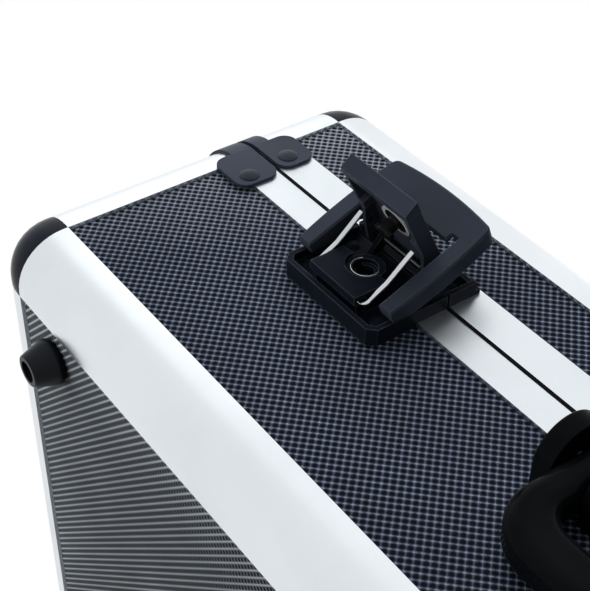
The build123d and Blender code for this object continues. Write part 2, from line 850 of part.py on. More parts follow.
for side, sx in (("left", -1), ("right", 1)):
    outer_x = sx * (half_width - edge_lip)
    inner_x = sx * (half_width - edge_lip - panel_thickness)
    with BuildPart() as lid_side_panel:
        box_between(
            (min(outer_x, inner_x), front_y + panel_edge, lid_panel_bottom),
            (max(outer_x, inner_x), rear_y - panel_edge, top_z - panel_edge),
        )
    save_node(lid_side_panel.part, f"lid_side_panel_{side}")

# Lid profiles and corners
with BuildPart() as lid_top_profiles:
    add(edge_profile((0, front_y, top_z), (0, 1, 0), (0, 0, -1), case_width - 2 * edge_leg))
    add(edge_profile((-half_width, middle_y, top_z), (0, 0, -1), (1, 0, 0), case_depth - 2 * edge_leg))
    mirror(about=left_right)
    mirror(about=front_rear)
save_node(lid_top_profiles.part, "lid_top_profiles")

lid_upright = lid_height - edge_leg - half_gap
with BuildPart() as lid_upright_profiles:
    upright_z = top_z - edge_leg - lid_upright / 2
    add(edge_profile((-half_width, front_y, upright_z), (1, 0, 0), (0, 1, 0), lid_upright))
    mirror(about=left_right)
    mirror(about=front_rear)
save_node(lid_upright_profiles.part, "lid_upright_profiles")

with BuildPart() as lid_closing_profiles:
    add(closing_frame(lid_closing))
    add(seam_holes(lid_seam_planes), mode=Mode.SUBTRACT)
    add(latch_pegs(keeper_rivets), mode=Mode.SUBTRACT)
    add(hinge_pegs(1), mode=Mode.SUBTRACT)
save_node(lid_closing_profiles.part, "lid_closing_profiles")

with BuildPart() as lid_ball_corners:
    add(mirror(ball_corner(), about=base_lid, mode=Mode.PRIVATE))
    mirror(about=left_right)
    mirror(about=front_rear)
save_node(lid_ball_corners.part, "lid_ball_corners")

# Lid seam covers and their rivets
lid_cover_low = parting_z + cover_parting
with BuildPart() as lid_seam_covers:
    add(seam_cover(lid_cover_reach, lid_cover_height, lid_neck_height,
                   lid_cover_low, lid_cover_low, lid_seam_planes))
save_node(lid_seam_covers.part, "lid_seam_covers")

with BuildPart() as lid_seam_rivets:
    add(seam_rivets(lid_seam_planes))
save_node(lid_seam_rivets.part, "lid_seam_rivets")

# Lid foam
with BuildPart() as lid_foam_pad:
    lid_foam_top = top_z - inner_depth - seat_gap
    box_between(
        (-foam_half_x, foam_front_y, lid_foam_top - lid_foam),
        (foam_half_x, foam_front_y + foam_depth, lid_foam_top),
    )
save_node(lid_foam_pad.part, "lid_foam_pad")

# Latch rivets
with BuildPart() as latch_rivets:
    add(latch_rivet_set(tray_rivets))
save_node(latch_rivets.part, "latch_rivets")

with BuildPart() as keeper_rivet_set:
    add(latch_rivet_set(keeper_rivets))
save_node(keeper_rivet_set.part, "keeper_rivets")

# Latch hinge pins, fixed in the lugs of both trays
with BuildPart() as latch_hinge_pins:
    for x0 in (-latch_x, latch_x):
        with BuildSketch(latch_side(x0, lever_pin_v, lever_pin_h)):
            Circle(pivot_radius)
        extrude(amount=lever_half + seat_gap, both=True)
save_node(latch_hinge_pins.part, "latch_hinge_pins")

# Places on the lever, seen from its link pivot: y towards the hinge, z out of the lever
tilt_open = -lever_tilt
hinge_y = -crank * cos(radians(crank_open + lever_tilt))
hinge_z = -crank * sin(radians(crank_open + lever_tilt))
slope = radians(90 - lever_nose_angle)
nose_y = hinge_y + lever_nose * cos(radians(lever_nose_angle))
nose_z = hinge_z + lever_nose * sin(radians(lever_nose_angle))
inner_nose = lever_nose - lever_nose_skin
inner_y = hinge_y + inner_nose * cos(radians(lever_nose_angle))
inner_z = hinge_z + inner_nose * sin(radians(lever_nose_angle))
under = link_depth - lever_skin
side_low = link_depth - lever_side
bend_y = nose_y - (link_depth - nose_z) / sin(slope) * cos(slope)
inner_bend_y = inner_y - (under - inner_z) / sin(slope) * cos(slope)

# Places on the cover, seen from the same pivot
tip_y = -link_from_tip
cut_y = hook_cut_length - link_from_tip
far_y = hook_length - link_from_tip
nose_in_y = hook_nose_at - link_from_tip
hook_low = link_depth - hook_depth

for side, x0 in (("left", -latch_x), ("right", latch_x)):
    face = latch_face(x0)
    section = latch_side(x0)

    # Tray with the catch block, the lock's socket and the hinge lugs
    tray_low = -latch_parting - tray_length
    with BuildPart() as latch_tray:
        with BuildSketch(face) as outline:
            with Locations((0, -latch_parting)):
                Rectangle(2 * latch_half, tray_length, align=(Align.CENTER, Align.MAX))
            chamfer(outline.vertices().group_by(Axis.Y)[0], tray_corner)
        extrude(amount=edge_lip + tray_rim_height)
        with BuildSketch(face.offset(latch_floor)) as inside:
            with Locations((0, -latch_parting + tray_rim)):
                Rectangle(2 * (latch_half - tray_rim), tray_length, align=(Align.CENTER, Align.MAX))
            chamfer(inside.vertices().group_by(Axis.Y)[0], tray_corner - tray_rim * 0.4)
        extrude(amount=tray_rim_height, mode=Mode.SUBTRACT)
        with BuildSketch(section):
            with Locations((-base_strip - seat_gap, 0)):
                Rectangle(base_strip + seat_gap, edge_lip, align=(Align.MIN, Align.MIN))
        extrude(amount=latch_half, both=True, mode=Mode.SUBTRACT)
        with BuildSketch(section):
            with Locations((-block_body_front, latch_floor)):
                Rectangle(block_body_front - socket_at, block_top - latch_floor,
                          align=(Align.MIN, Align.MIN))
            with Locations((-block_front, block_top - block_lip)):
                Rectangle(block_front - block_body_front, block_lip, align=(Align.MIN, Align.MIN))
            with Locations((-block_front, block_top - block_lip - block_lip_drop)):
                Rectangle(block_lip_turn, block_lip_drop, align=(Align.MIN, Align.MIN))
        extrude(amount=block_half, both=True)
        with BuildSketch(section):
            with Locations((wire_bar_v - wire_radius - seat_gap, latch_floor)):
                step_width = -wire_bar_v + wire_radius + seat_gap - block_body_front
                step_height = wire_bar_h - wire_radius - seat_gap - latch_floor
                Rectangle(step_width, step_height, align=(Align.MIN, Align.MIN))
        extrude(amount=block_step_half, both=True)
        with BuildSketch(face.offset(latch_floor)):
            with Locations((0, -socket_at)):
                Circle(socket_boss)
        extrude(amount=socket_top - latch_floor)
        with BuildSketch(face.offset(socket_top)):
            with Locations((0, -socket_at)):
                Circle(socket_boss + seat_gap)
        extrude(amount=block_top - socket_top, mode=Mode.SUBTRACT)
        with BuildSketch(face.offset(latch_floor)):
            with Locations((0, -socket_at)):
                Circle(socket_radius)
        extrude(amount=socket_ledge_top - socket_ledge - latch_floor, mode=Mode.SUBTRACT)
        with BuildSketch(face.offset(socket_ledge_top - socket_ledge)):
            with Locations((0, -socket_at)):
                Circle(socket_neck)
                Rectangle(2 * socket_radius, socket_slot)
                Circle(socket_radius, mode=Mode.INTERSECT)
        extrude(amount=socket_ledge, mode=Mode.SUBTRACT)
        with BuildSketch(face.offset(socket_ledge_top)):
            with Locations((0, -socket_at)):
                Circle(socket_radius)
        extrude(amount=block_top - socket_ledge_top, mode=Mode.SUBTRACT)
        for sx in (-1, 1):
            with BuildSketch(section.offset(sx * lug_inner)):
                with Locations((lever_pin_v, lever_pin_h)):
                    Circle(lug_radius)
                with BuildLine():
                    Polyline(
                        (-latch_parting - lug_foot, latch_floor - 0.5),
                        (-latch_parting - 0.3, latch_floor - 0.5),
                        (lever_pin_v + lug_radius * 0.35, lever_pin_h - lug_radius * 0.9),
                        (lever_pin_v - lug_radius * 0.7, lever_pin_h + lug_radius * 0.7),
                        close=True,
                    )
                make_face()
                with Locations((lever_pin_v, lever_pin_h)):
                    Circle(pivot_radius, mode=Mode.SUBTRACT)
            extrude(amount=sx * lug_thickness)
        with BuildSketch(face.offset(latch_floor)):
            with Locations(*tray_rivets):
                Circle(rivet_shank)
        extrude(amount=-latch_floor, mode=Mode.SUBTRACT)
    save_node(latch_tray.part, f"latch_tray_{side}")

    # Keeper on the lid, with the bar that the cover's nose hooks over
    with BuildPart() as latch_keeper:
        with BuildSketch(face.offset(edge_lip)):
            with Locations((0, latch_parting)):
                Rectangle(2 * latch_half, keeper_height, align=(Align.CENTER, Align.MIN))
        extrude(amount=tray_floor)
        for sx in (-1, 1):
            with BuildSketch(face.offset(latch_floor)):
                with Locations((sx * (latch_half - tray_rim / 2), latch_parting)):
                    Rectangle(tray_rim, keeper_rim_height, align=(Align.CENTER, Align.MIN))
            extrude(amount=tray_rim_height - tray_floor)
        with BuildSketch(face.offset(latch_floor)):
            with Locations((0, hook_bar_at)):
                Rectangle(2 * (latch_half - tray_rim), hook_bar, align=(Align.CENTER, Align.MIN))
        extrude(amount=hook_bar_height - latch_floor)
        with BuildSketch(face.offset(latch_floor)):
            with Locations(*keeper_rivets):
                Circle(rivet_shank)
        extrude(amount=-tray_floor, mode=Mode.SUBTRACT)
    save_node(latch_keeper.part, f"latch_keeper_{side}")

    # Cover: a hook link with two legs, hollow under its far end
    along = radians(hook_tilt)
    link_origin = (x0, panel_y - link_pin_h, parting_z + link_pin_v)
    cover_plane = Plane(origin=link_origin, x_dir=(1, 0, 0), z_dir=(0, -cos(along), -sin(along)))
    cover_section = latch_side(x0, link_pin_v, link_pin_h, hook_tilt)
    with BuildPart() as latch_cover:
        with BuildSketch(cover_plane.offset(link_depth)) as outline:
            with BuildLine():
                right = ThreePointArc(
                    (hook_half_tip, tip_y), (hook_half_mid, (tip_y + far_y) / 2), (hook_half_far, far_y)
                )
                far = ThreePointArc((hook_half_far, far_y), (0, far_y + hook_bow), (-hook_half_far, far_y))
                left = ThreePointArc(
                    (-hook_half_far, far_y), (-hook_half_mid, (tip_y + far_y) / 2), (-hook_half_tip, tip_y)
                )
                Line(left @ 1, right @ 0)
            make_face()
            far_corners = outline.vertices().filter_by(lambda p: abs(p.X) > hook_half_far - 0.5)
            fillet(far_corners.sort_by(Axis.Y)[-2:], hook_corner)
            with Locations((0, tip_y)):
                Rectangle(2 * hook_cut_half, hook_cut_length,
                          align=(Align.CENTER, Align.MIN), mode=Mode.SUBTRACT)
            notch_x = hook_cut_half - hook_notch / 2
            with Locations((notch_x, cut_y), (-notch_x, cut_y)):
                Rectangle(hook_notch, hook_notch, align=(Align.CENTER, Align.MIN), mode=Mode.SUBTRACT)
        extrude(amount=-hook_depth)
        top_face = latch_cover.faces().sort_by(Axis(cover_plane.origin, cover_plane.z_dir))[-1]
        chamfer(top_face.outer_wire().edges(), 0.7)
        with BuildSketch(cover_plane.offset(hook_low)):
            with Locations((0, cut_y - 1.0)):
                Rectangle(2 * hook_pocket_half, nose_in_y - cut_y + 1.0, align=(Align.CENTER, Align.MIN))
        extrude(amount=hook_depth - hook_skin, mode=Mode.SUBTRACT)
        with BuildSketch(cover_plane.offset(hook_low)):
            with Locations((0, nose_in_y)):
                Rectangle(2 * hook_nose_half, far_y - nose_in_y, align=(Align.CENTER, Align.MIN))
        extrude(amount=-hook_nose)
        for sx in (-1, 1):
            with BuildSketch(cover_section.offset(sx * hook_cut_half)):
                Circle(hook_boss)
            extrude(amount=sx * (hook_boss_end - hook_cut_half))
            with BuildSketch(cover_section.offset(sx * hook_cut_half)):
                Circle(pivot_radius + running_play)
            extrude(amount=sx * (hook_boss_end - hook_cut_half - 0.3), mode=Mode.SUBTRACT)
        with BuildSketch(cover_section):
            with BuildLine():
                Polyline(
                    (tip_y, hook_low),
                    (tip_y + hook_tip_run, hook_low),
                    (tip_y, hook_low + hook_tip_relief),
                    close=True,
                )
            make_face()
        extrude(amount=2 * latch_half, both=True, mode=Mode.SUBTRACT)
    save_node(latch_cover.part, f"latch_cover_{side}")

    # Lever: a shell with side walls that end in hinge ears, a grip lip and two spring seats
    lever_section = latch_side(x0, link_pin_v, link_pin_h, tilt_open)
    lever_face = Plane(
        origin=link_origin,
        x_dir=(1, 0, 0),
        z_dir=(0, -cos(radians(tilt_open)), -sin(radians(tilt_open))),
    )
    body_start = -lever_length + lever_lip / 2
    with BuildPart() as latch_lever:
        with BuildSketch(lever_section):
            with BuildLine():
                Polyline(
                    (body_start, link_depth),
                    (bend_y, link_depth),
                    (nose_y, nose_z),
                    (hinge_y, hinge_z),
                    (hinge_y - 0.8, hinge_z - lever_nose * 0.97),
                    (0, -lever_ear),
                    (-lever_ear * 2.2, side_low),
                    (body_start, side_low),
                    close=True,
                )
            make_face()
            Circle(lever_ear)
            with Locations((hinge_y, hinge_z)):
                Circle(lever_nose)
        extrude(amount=lever_half, both=True)
        with BuildSketch(lever_section):
            with BuildLine():
                Polyline(
                    (-lever_length + lever_lip, under),
                    (inner_bend_y, under),
                    (inner_y, inner_z),
                    (hinge_y, hinge_z),
                    (hinge_y, hinge_z - 2 * lever_nose),
                    (-lever_length + lever_lip, hinge_z - 2 * lever_nose),
                    close=True,
                )
            make_face()
            with Locations((hinge_y, hinge_z)):
                Circle(inner_nose)
            with Locations((hinge_y, hinge_z)):
                Rectangle(2 * lever_nose, 2 * lever_nose, align=(Align.MIN, Align.MAX))
        extrude(amount=lever_half - lever_wall, both=True, mode=Mode.SUBTRACT)
        with BuildSketch(lever_section):
            with BuildLine():
                Polyline(
                    (-lever_length, link_depth),
                    (-lever_length + lever_lip, link_depth),
                    (-lever_length + lever_lip, side_low),
                    (-lever_length + lever_lip_slant, side_low),
                    close=True,
                )
            make_face()
        extrude(amount=lever_lip_half, both=True)
        for sx in (-1, 1):
            with BuildSketch(lever_section.offset(sx * (wire_half - wire_radius))):
                with Locations((-spring_seat_to, -spring_seat_low)):
                    Rectangle(spring_seat_to - spring_seat_from, under + spring_seat_low + 0.5,
                              align=(Align.MIN, Align.MIN))
            extrude(amount=sx * (lever_half - lever_wall - wire_half + wire_radius + 0.5))
        with BuildSketch(lever_section):
            Circle(pivot_radius)
            with Locations((hinge_y, hinge_z)):
                Circle(pivot_radius + running_play)
        extrude(amount=lever_half, both=True, mode=Mode.SUBTRACT)
        with BuildSketch(lever_face.offset(under)):
            with Locations((0, -lock_from_link)):
                Circle(lock_barrel + running_play)
        extrude(amount=lever_skin, mode=Mode.SUBTRACT)
    save_node(latch_lever.part, f"latch_lever_{side}")

    # Stub pins that join the cover's legs to the lever
    with BuildPart() as latch_link_pins:
        for sx in (-1, 1):
            with BuildSketch(lever_section.offset(sx * (lever_half - lever_wall))):
                Circle(pivot_radius)
            extrude(amount=sx * (hook_boss_end - 0.6 - lever_half + lever_wall))
    save_node(latch_link_pins.part, f"latch_link_pins_{side}")

    # Spring wire: a bar under the block's lip and two cranked legs behind the lever
    with BuildPart() as latch_spring:
        with BuildLine() as path:
            FilletPolyline(
                (x0 - wire_half, panel_y - wire_end_h, parting_z + wire_end_v),
                (x0 - wire_half, panel_y - wire_kink_h, parting_z + wire_kink_v),
                (x0 - wire_half, panel_y - wire_bar_h, parting_z + wire_bar_v),
                (x0 + wire_half, panel_y - wire_bar_h, parting_z + wire_bar_v),
                (x0 + wire_half, panel_y - wire_kink_h, parting_z + wire_kink_v),
                (x0 + wire_half, panel_y - wire_end_h, parting_z + wire_end_v),
                radius=wire_bend,
            )
        with BuildSketch(Plane(origin=path.line @ 0, z_dir=path.line % 0)):
            Circle(wire_radius)
        sweep(path=path.line)
    save_node(latch_spring.part, f"latch_spring_{side}")

    # Lock: a head, a barrel through the lever, a disc behind it and a winged plug
    lock_centre = (0, -lock_from_link)
    with BuildPart() as latch_lock:
        with BuildSketch(lever_face.offset(link_depth + seat_gap)):
            with Locations(lock_centre):
                Circle(lock_head)
        extrude(amount=lock_head_height)
        with BuildSketch(lever_face.offset(under - seat_gap - lock_disc_height)):
            with Locations(lock_centre):
                Circle(lock_disc)
        extrude(amount=lock_disc_height)
        with BuildSketch(lever_face.offset(under - seat_gap)):
            with Locations(lock_centre):
                Circle(lock_barrel)
        extrude(amount=lever_skin + 2 * seat_gap)
        with BuildSketch(lever_face.offset(under - seat_gap - lock_disc_height)):
            with Locations(lock_centre):
                Circle(lock_plug)
        extrude(amount=-lock_plug_length)
        plug_end = under - seat_gap - lock_disc_height - lock_plug_length
        with BuildSketch(lever_face.offset(plug_end)):
            with Locations(lock_centre):
                Rectangle(2 * lock_wing, lock_wing_width)
                Circle(lock_wing, mode=Mode.INTERSECT)
        extrude(amount=lock_wing_height)
        with BuildSketch(lever_face.offset(link_depth + seat_gap + lock_head_height)):
            with Locations(lock_centre):
                Rectangle(key_slot_width, key_slot)
        extrude(amount=-key_slot_depth, mode=Mode.SUBTRACT)
    save_node(latch_lock.part, f"latch_lock_{side}")
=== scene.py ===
"""Shallow hard case for a mixer, dressed over its solid model.

The camera looks at the left end from below, as in the photograph, and soft lamps and a white world light it.
"""

from __future__ import annotations

import json
import logging
import math
from dataclasses import dataclass, replace
from enum import Enum
from typing import Callable, ClassVar, Sequence, Union

import bmesh
import bpy
from mathutils import Matrix, Vector

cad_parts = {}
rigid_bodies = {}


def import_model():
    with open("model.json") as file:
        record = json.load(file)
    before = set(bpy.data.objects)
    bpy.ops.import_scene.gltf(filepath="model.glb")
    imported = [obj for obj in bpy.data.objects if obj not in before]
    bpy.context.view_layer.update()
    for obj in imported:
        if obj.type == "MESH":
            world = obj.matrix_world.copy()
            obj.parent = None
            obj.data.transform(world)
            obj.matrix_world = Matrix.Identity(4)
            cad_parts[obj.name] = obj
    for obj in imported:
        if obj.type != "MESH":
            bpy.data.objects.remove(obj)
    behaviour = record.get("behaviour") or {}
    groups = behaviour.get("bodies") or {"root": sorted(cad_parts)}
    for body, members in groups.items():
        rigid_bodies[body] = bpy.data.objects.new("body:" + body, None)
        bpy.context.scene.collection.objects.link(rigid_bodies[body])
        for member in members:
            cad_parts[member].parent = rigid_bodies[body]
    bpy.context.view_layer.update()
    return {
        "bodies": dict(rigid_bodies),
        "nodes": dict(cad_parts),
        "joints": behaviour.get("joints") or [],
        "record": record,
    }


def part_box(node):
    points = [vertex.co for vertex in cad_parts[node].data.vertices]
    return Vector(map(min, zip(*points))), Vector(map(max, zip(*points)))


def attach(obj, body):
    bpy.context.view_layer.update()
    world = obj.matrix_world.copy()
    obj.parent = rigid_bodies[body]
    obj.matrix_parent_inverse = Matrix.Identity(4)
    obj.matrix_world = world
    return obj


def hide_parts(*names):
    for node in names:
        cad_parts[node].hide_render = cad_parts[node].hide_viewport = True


log = logging.getLogger("mixer_case")

Socket = bpy.types.NodeSocket
Node = bpy.types.Node
Piece = bpy.types.Object
Triple = tuple[float, float, float]
Colour = tuple[float, float, float, float]
Value = Union[float, Triple, Colour, Socket]

MM = 0.001
SIDES = ("left", "right")


class Facing(Enum):
    """The pair of axes that lies in a panel's face."""

    FRONT = (0, 2)
    SIDE = (1, 2)
    FLAT = (0, 1)


class Grooves(Enum):
    """Whether a metal has drawn grooves, and the axis that they follow one another on."""

    NONE = None
    UPWARDS = 2


class MeshPart(Enum):
    """The kind of part that is selected in edit mode, by its name in a mesh."""

    VERT = "verts"
    EDGE = "edges"
    FACE = "faces"


class Combining(Enum):
    """What a tool does to a piece."""

    JOIN = "UNION"
    CUT = "DIFFERENCE"


def grey(level: float, tint: Triple = (1.0, 1.0, 1.0)) -> Colour:
    """A linear colour of one level, tinted.

    Args:
        level: brightness from 0 to 1.
        tint: factors for red, green and blue.

    Returns:
        The colour with full alpha.
    """
    return (level * tint[0], level * tint[1], level * tint[2], 1.0)


def scaled(colour: Colour, factor: float, lift: float = 0.0) -> Colour:
    """A colour made lighter or darker.

    Args:
        colour: the colour to start from.
        factor: the factor on red, green and blue.
        lift: what each of them gains after that.

    Returns:
        The new colour, with full alpha and nothing above 1.
    """
    return tuple(min(1.0, channel * factor + lift) for channel in colour[:3]) + (1.0,)


class Sheet:
    """A node tree with short calls to add and join nodes.

    The Mix node's sockets for colours go by number, because its other kinds of socket have the same names.
    """

    mix_inputs = (0, 6, 7)
    mix_output = 2

    def __init__(self, tree: bpy.types.NodeTree) -> None:
        """Keeps the tree that the calls fill."""
        self.tree = tree

    def add(self, kind: str, **settings: object) -> Node:
        """Adds a node.

        Args:
            kind: the node's type name.
            settings: attributes to set on it.

        Returns:
            The new node.
        """
        node = self.tree.nodes.new(kind)
        for name, value in settings.items():
            setattr(node, name, value)
        return node

    def put(self, value: Value, socket: Socket) -> None:
        """Sets a socket's value or links another socket to it.

        Args:
            value: a plain value or an output socket.
            socket: the input socket.
        """
        if isinstance(value, Socket):
            self.tree.links.new(value, socket)
        else:
            socket.default_value = value

    def feed(self, node: Node, *values: Value) -> Node:
        """Gives a node its first inputs.

        Args:
            node: the node.
            values: its inputs in order.

        Returns:
            The same node.
        """
        for value, socket in zip(values, node.inputs):
            self.put(value, socket)
        return node

    def math(self, operation: str, *values: Value) -> Socket:
        """Adds a Math node.

        Args:
            operation: the node's operation.
            values: its inputs in order.

        Returns:
            The result's socket.
        """
        return self.feed(self.add("ShaderNodeMath", operation=operation), *values).outputs[0]

    def vector(self, operation: str, *values: Value) -> Node:
        """Adds a Vector Math node.

        Args:
            operation: the node's operation.
            values: its inputs in order.

        Returns:
            The node, with its outputs Vector and Value.
        """
        return self.feed(self.add("ShaderNodeVectorMath", operation=operation), *values)

    def blend(self, share: Value, first: Value, second: Value) -> Socket:
        """Mixes two colours.

        Args:
            share: how much of the second colour shows.
            first: the colour at 0.
            second: the colour at 1.

        Returns:
            The mixed colour's socket.
        """
        node = self.add("ShaderNodeMix", data_type="RGBA")
        for value, number in zip((share, first, second), self.mix_inputs):
            self.put(value, node.inputs[number])
        return node.outputs[self.mix_output]

    def mix(self, share: Value, first: Socket, second: Socket) -> Socket:
        """Mixes two shaders.

        Args:
            share: how much of the second shader shows.
            first: the shader at 0.
            second: the shader at 1.

        Returns:
            The mixed shader's socket.
        """
        return self.feed(self.add("ShaderNodeMixShader"), share, first, second).outputs[0]

    def span(
        self, value: Value, low: float, high: float, to_low: float = 0.0, to_high: float = 1.0
    ) -> Socket:
        """Maps a value from one range to another and clamps it.

        Args:
            value: the value to map.
            low: start of its range.
            high: end of its range.
            to_low: result at the start.
            to_high: result at the end.

        Returns:
            The mapped value's socket.
        """
        node = self.add("ShaderNodeMapRange", clamp=True)
        return self.feed(node, value, low, high, to_low, to_high).outputs[0]

    def place(self) -> Socket:
        """The object coordinates, in metres."""
        return self.add("ShaderNodeTexCoord").outputs["Object"]

    def axes(self) -> list[Socket]:
        """The object coordinates as three sockets, for X, Y and Z."""
        return list(self.feed(self.add("ShaderNodeSeparateXYZ"), self.place()).outputs)

    def noise(self, waves: float, detail: float) -> Socket:
        """Noise on the object coordinates.

        Args:
            waves: waves per metre.
            detail: octaves of detail.

        Returns:
            The noise value's socket.
        """
        cloud = self.feed(self.add("ShaderNodeTexNoise"), self.place())
        cloud.inputs["Scale"].default_value = waves
        cloud.inputs["Detail"].default_value = detail
        return cloud.outputs[0]


def new_material(name: str) -> tuple[bpy.types.Material, Sheet, Node]:
    """Makes a material.

    Args:
        name: its name.

    Returns:
        The material, its tree and its Principled node.
    """
    material = bpy.data.materials.new(name)
    material.use_nodes = True
    tree = material.node_tree
    return material, Sheet(tree), tree.nodes["Principled BSDF"]


class EffectGroup:
    """A shader node group with named inputs and outputs that several finishes share."""

    name: ClassVar[str] = "effect"
    inputs: ClassVar[dict[str, float]] = {}
    outputs: ClassVar[Sequence[str]] = ()
    made: ClassVar[dict[str, bpy.types.NodeTree]] = {}

    @classmethod
    def tree(cls) -> bpy.types.NodeTree:
        """The group's tree, made at its first use.

        Returns:
            The node group.
        """
        if cls.name not in cls.made:
            tree = bpy.data.node_groups.new(cls.name, "ShaderNodeTree")
            for label, value in cls.inputs.items():
                socket = tree.interface.new_socket(name=label, in_out="INPUT", socket_type="NodeSocketFloat")
                socket.default_value = value
            for label in cls.outputs:
                tree.interface.new_socket(name=label, in_out="OUTPUT", socket_type="NodeSocketFloat")
            sheet = Sheet(tree)
            cls.fill(sheet, sheet.add("NodeGroupInput").outputs, sheet.add("NodeGroupOutput").inputs)
            cls.made[cls.name] = tree
        return cls.made[cls.name]

    @classmethod
    def fill(cls, sheet: Sheet, given: Sequence[Socket], asked: Sequence[Socket]) -> None:
        """Builds the nodes between the group's inputs and outputs.

        Args:
            sheet: the group's tree.
            given: the sockets of the group's inputs, by name.
            asked: the sockets of its outputs, by name.
        """
        raise NotImplementedError

    @classmethod
    def place(cls, sheet: Sheet, **values: Value) -> Sequence[Socket]:
        """Places the group in a material.

        Args:
            sheet: the material's tree.
            values: inputs by name, with underscores for spaces.

        Returns:
            The group's outputs, by name.
        """
        node = sheet.add("ShaderNodeGroup", node_tree=cls.tree())
        for label, value in values.items():
            sheet.put(value, node.inputs[label.replace("_", " ")])
        return node.outputs


class WaffleGroup(EffectGroup):
    """The embossed lattice of a waffle laminate, in two coordinates along the panel's edges.

    First and Second say how strongly each family of ridges shows, a painted light from one side. Height is
    the relief, Ridge the mask of the ridges and Knot that of the places where they cross, which take a
    painted highlight.
    """

    name = "waffle_emboss"
    inputs = {"Along": 0.0, "Up": 0.0, "Pitch": 2.5 * MM, "First": 1.0, "Second": 1.0}
    outputs = ("Height", "Ridge", "Knot")
    ridge_power = 6.5
    ridge_merge = 0.2
    crossing_share = 0.25
    knot_power = 2.2

    @classmethod
    def fill(cls, sheet: Sheet, given: Sequence[Socket], asked: Sequence[Socket]) -> None:
        """Two families of diagonal ridges with a pit between them.

        Args:
            sheet: the group's tree.
            given: the sockets of the group's inputs, by name.
            asked: the sockets of its outputs, by name.
        """
        waves, ridges, shown = [], [], []
        for operation, family in (("ADD", "First"), ("SUBTRACT", "Second")):
            straight = sheet.math(operation, given["Along"], given["Up"])
            diagonal = sheet.math("MULTIPLY", straight, math.sqrt(0.5))
            phase = sheet.math("MULTIPLY", sheet.math("DIVIDE", diagonal, given["Pitch"]), math.pi)
            waves.append(sheet.math("ABSOLUTE", sheet.math("COSINE", phase)))
            ridges.append(sheet.math("POWER", waves[-1], cls.ridge_power))
            shown.append(sheet.math("MULTIPLY", ridges[-1], given[family]))
        top = sheet.math("SMOOTH_MAX", *ridges, cls.ridge_merge)
        crossing = sheet.math("MULTIPLY", sheet.math("MULTIPLY", *ridges), cls.crossing_share)
        knot = sheet.math("POWER", sheet.math("MULTIPLY", *waves), cls.knot_power)
        sheet.put(sheet.math("MULTIPLY_ADD", top, 1 - cls.crossing_share, crossing), asked["Height"])
        sheet.put(sheet.math("MAXIMUM", *shown), asked["Ridge"])
        sheet.put(knot, asked["Knot"])


class GrooveGroup(EffectGroup):
    """Fine parallel grooves across one coordinate, as on drawn aluminium.

    Height is the relief, and Line the mask of the grooves' bottoms, which a finish darkens as painted shade.
    """

    name = "drawn_grooves"
    inputs = {"Across": 0.0, "Pitch": 1.0 * MM}
    outputs = ("Height", "Line")
    land_power = 0.6
    line_end = 0.35

    @classmethod
    def fill(cls, sheet: Sheet, given: Sequence[Socket], asked: Sequence[Socket]) -> None:
        """A rounded comb of grooves.

        Args:
            sheet: the group's tree.
            given: the sockets of the group's inputs, by name.
            asked: the sockets of its outputs, by name.
        """
        turns = sheet.math("DIVIDE", given["Across"], given["Pitch"])
        wave = sheet.math("SINE", sheet.math("MULTIPLY", turns, math.tau))
        level = sheet.math("MULTIPLY_ADD", wave, 0.5, 0.5)
        sheet.put(sheet.math("POWER", level, cls.land_power), asked["Height"])
        sheet.put(sheet.span(level, 0.0, cls.line_end, 1.0, 0.0), asked["Line"])


class HandlingGroup(EffectGroup):
    """Faint uneven marks from handling, and fine dust.

    Marks says how strong the marks are in Mask, and Added Roughness how much rougher they make the surface.
    Grain is the relief of the dust.
    """

    name = "handling_marks"
    inputs = {"Marks": 1.0, "Plain Roughness": 0.3, "Added Roughness": 0.07}
    outputs = ("Mask", "Roughness", "Grain")
    mark_noise = (28.0, 4.0)
    mark_range = (0.42, 0.7)
    grain_noise = (2400.0, 2.0)

    @classmethod
    def fill(cls, sheet: Sheet, given: Sequence[Socket], asked: Sequence[Socket]) -> None:
        """Broad soft marks and a fine grain.

        Args:
            sheet: the group's tree.
            given: the sockets of the group's inputs, by name.
            asked: the sockets of its outputs, by name.
        """
        marks = sheet.span(sheet.noise(*cls.mark_noise), *cls.mark_range)
        rough = sheet.math("MULTIPLY_ADD", marks, given["Added Roughness"], given["Plain Roughness"])
        sheet.put(sheet.math("MULTIPLY", marks, given["Marks"]), asked["Mask"])
        sheet.put(rough, asked["Roughness"])
        sheet.put(sheet.noise(*cls.grain_noise), asked["Grain"])


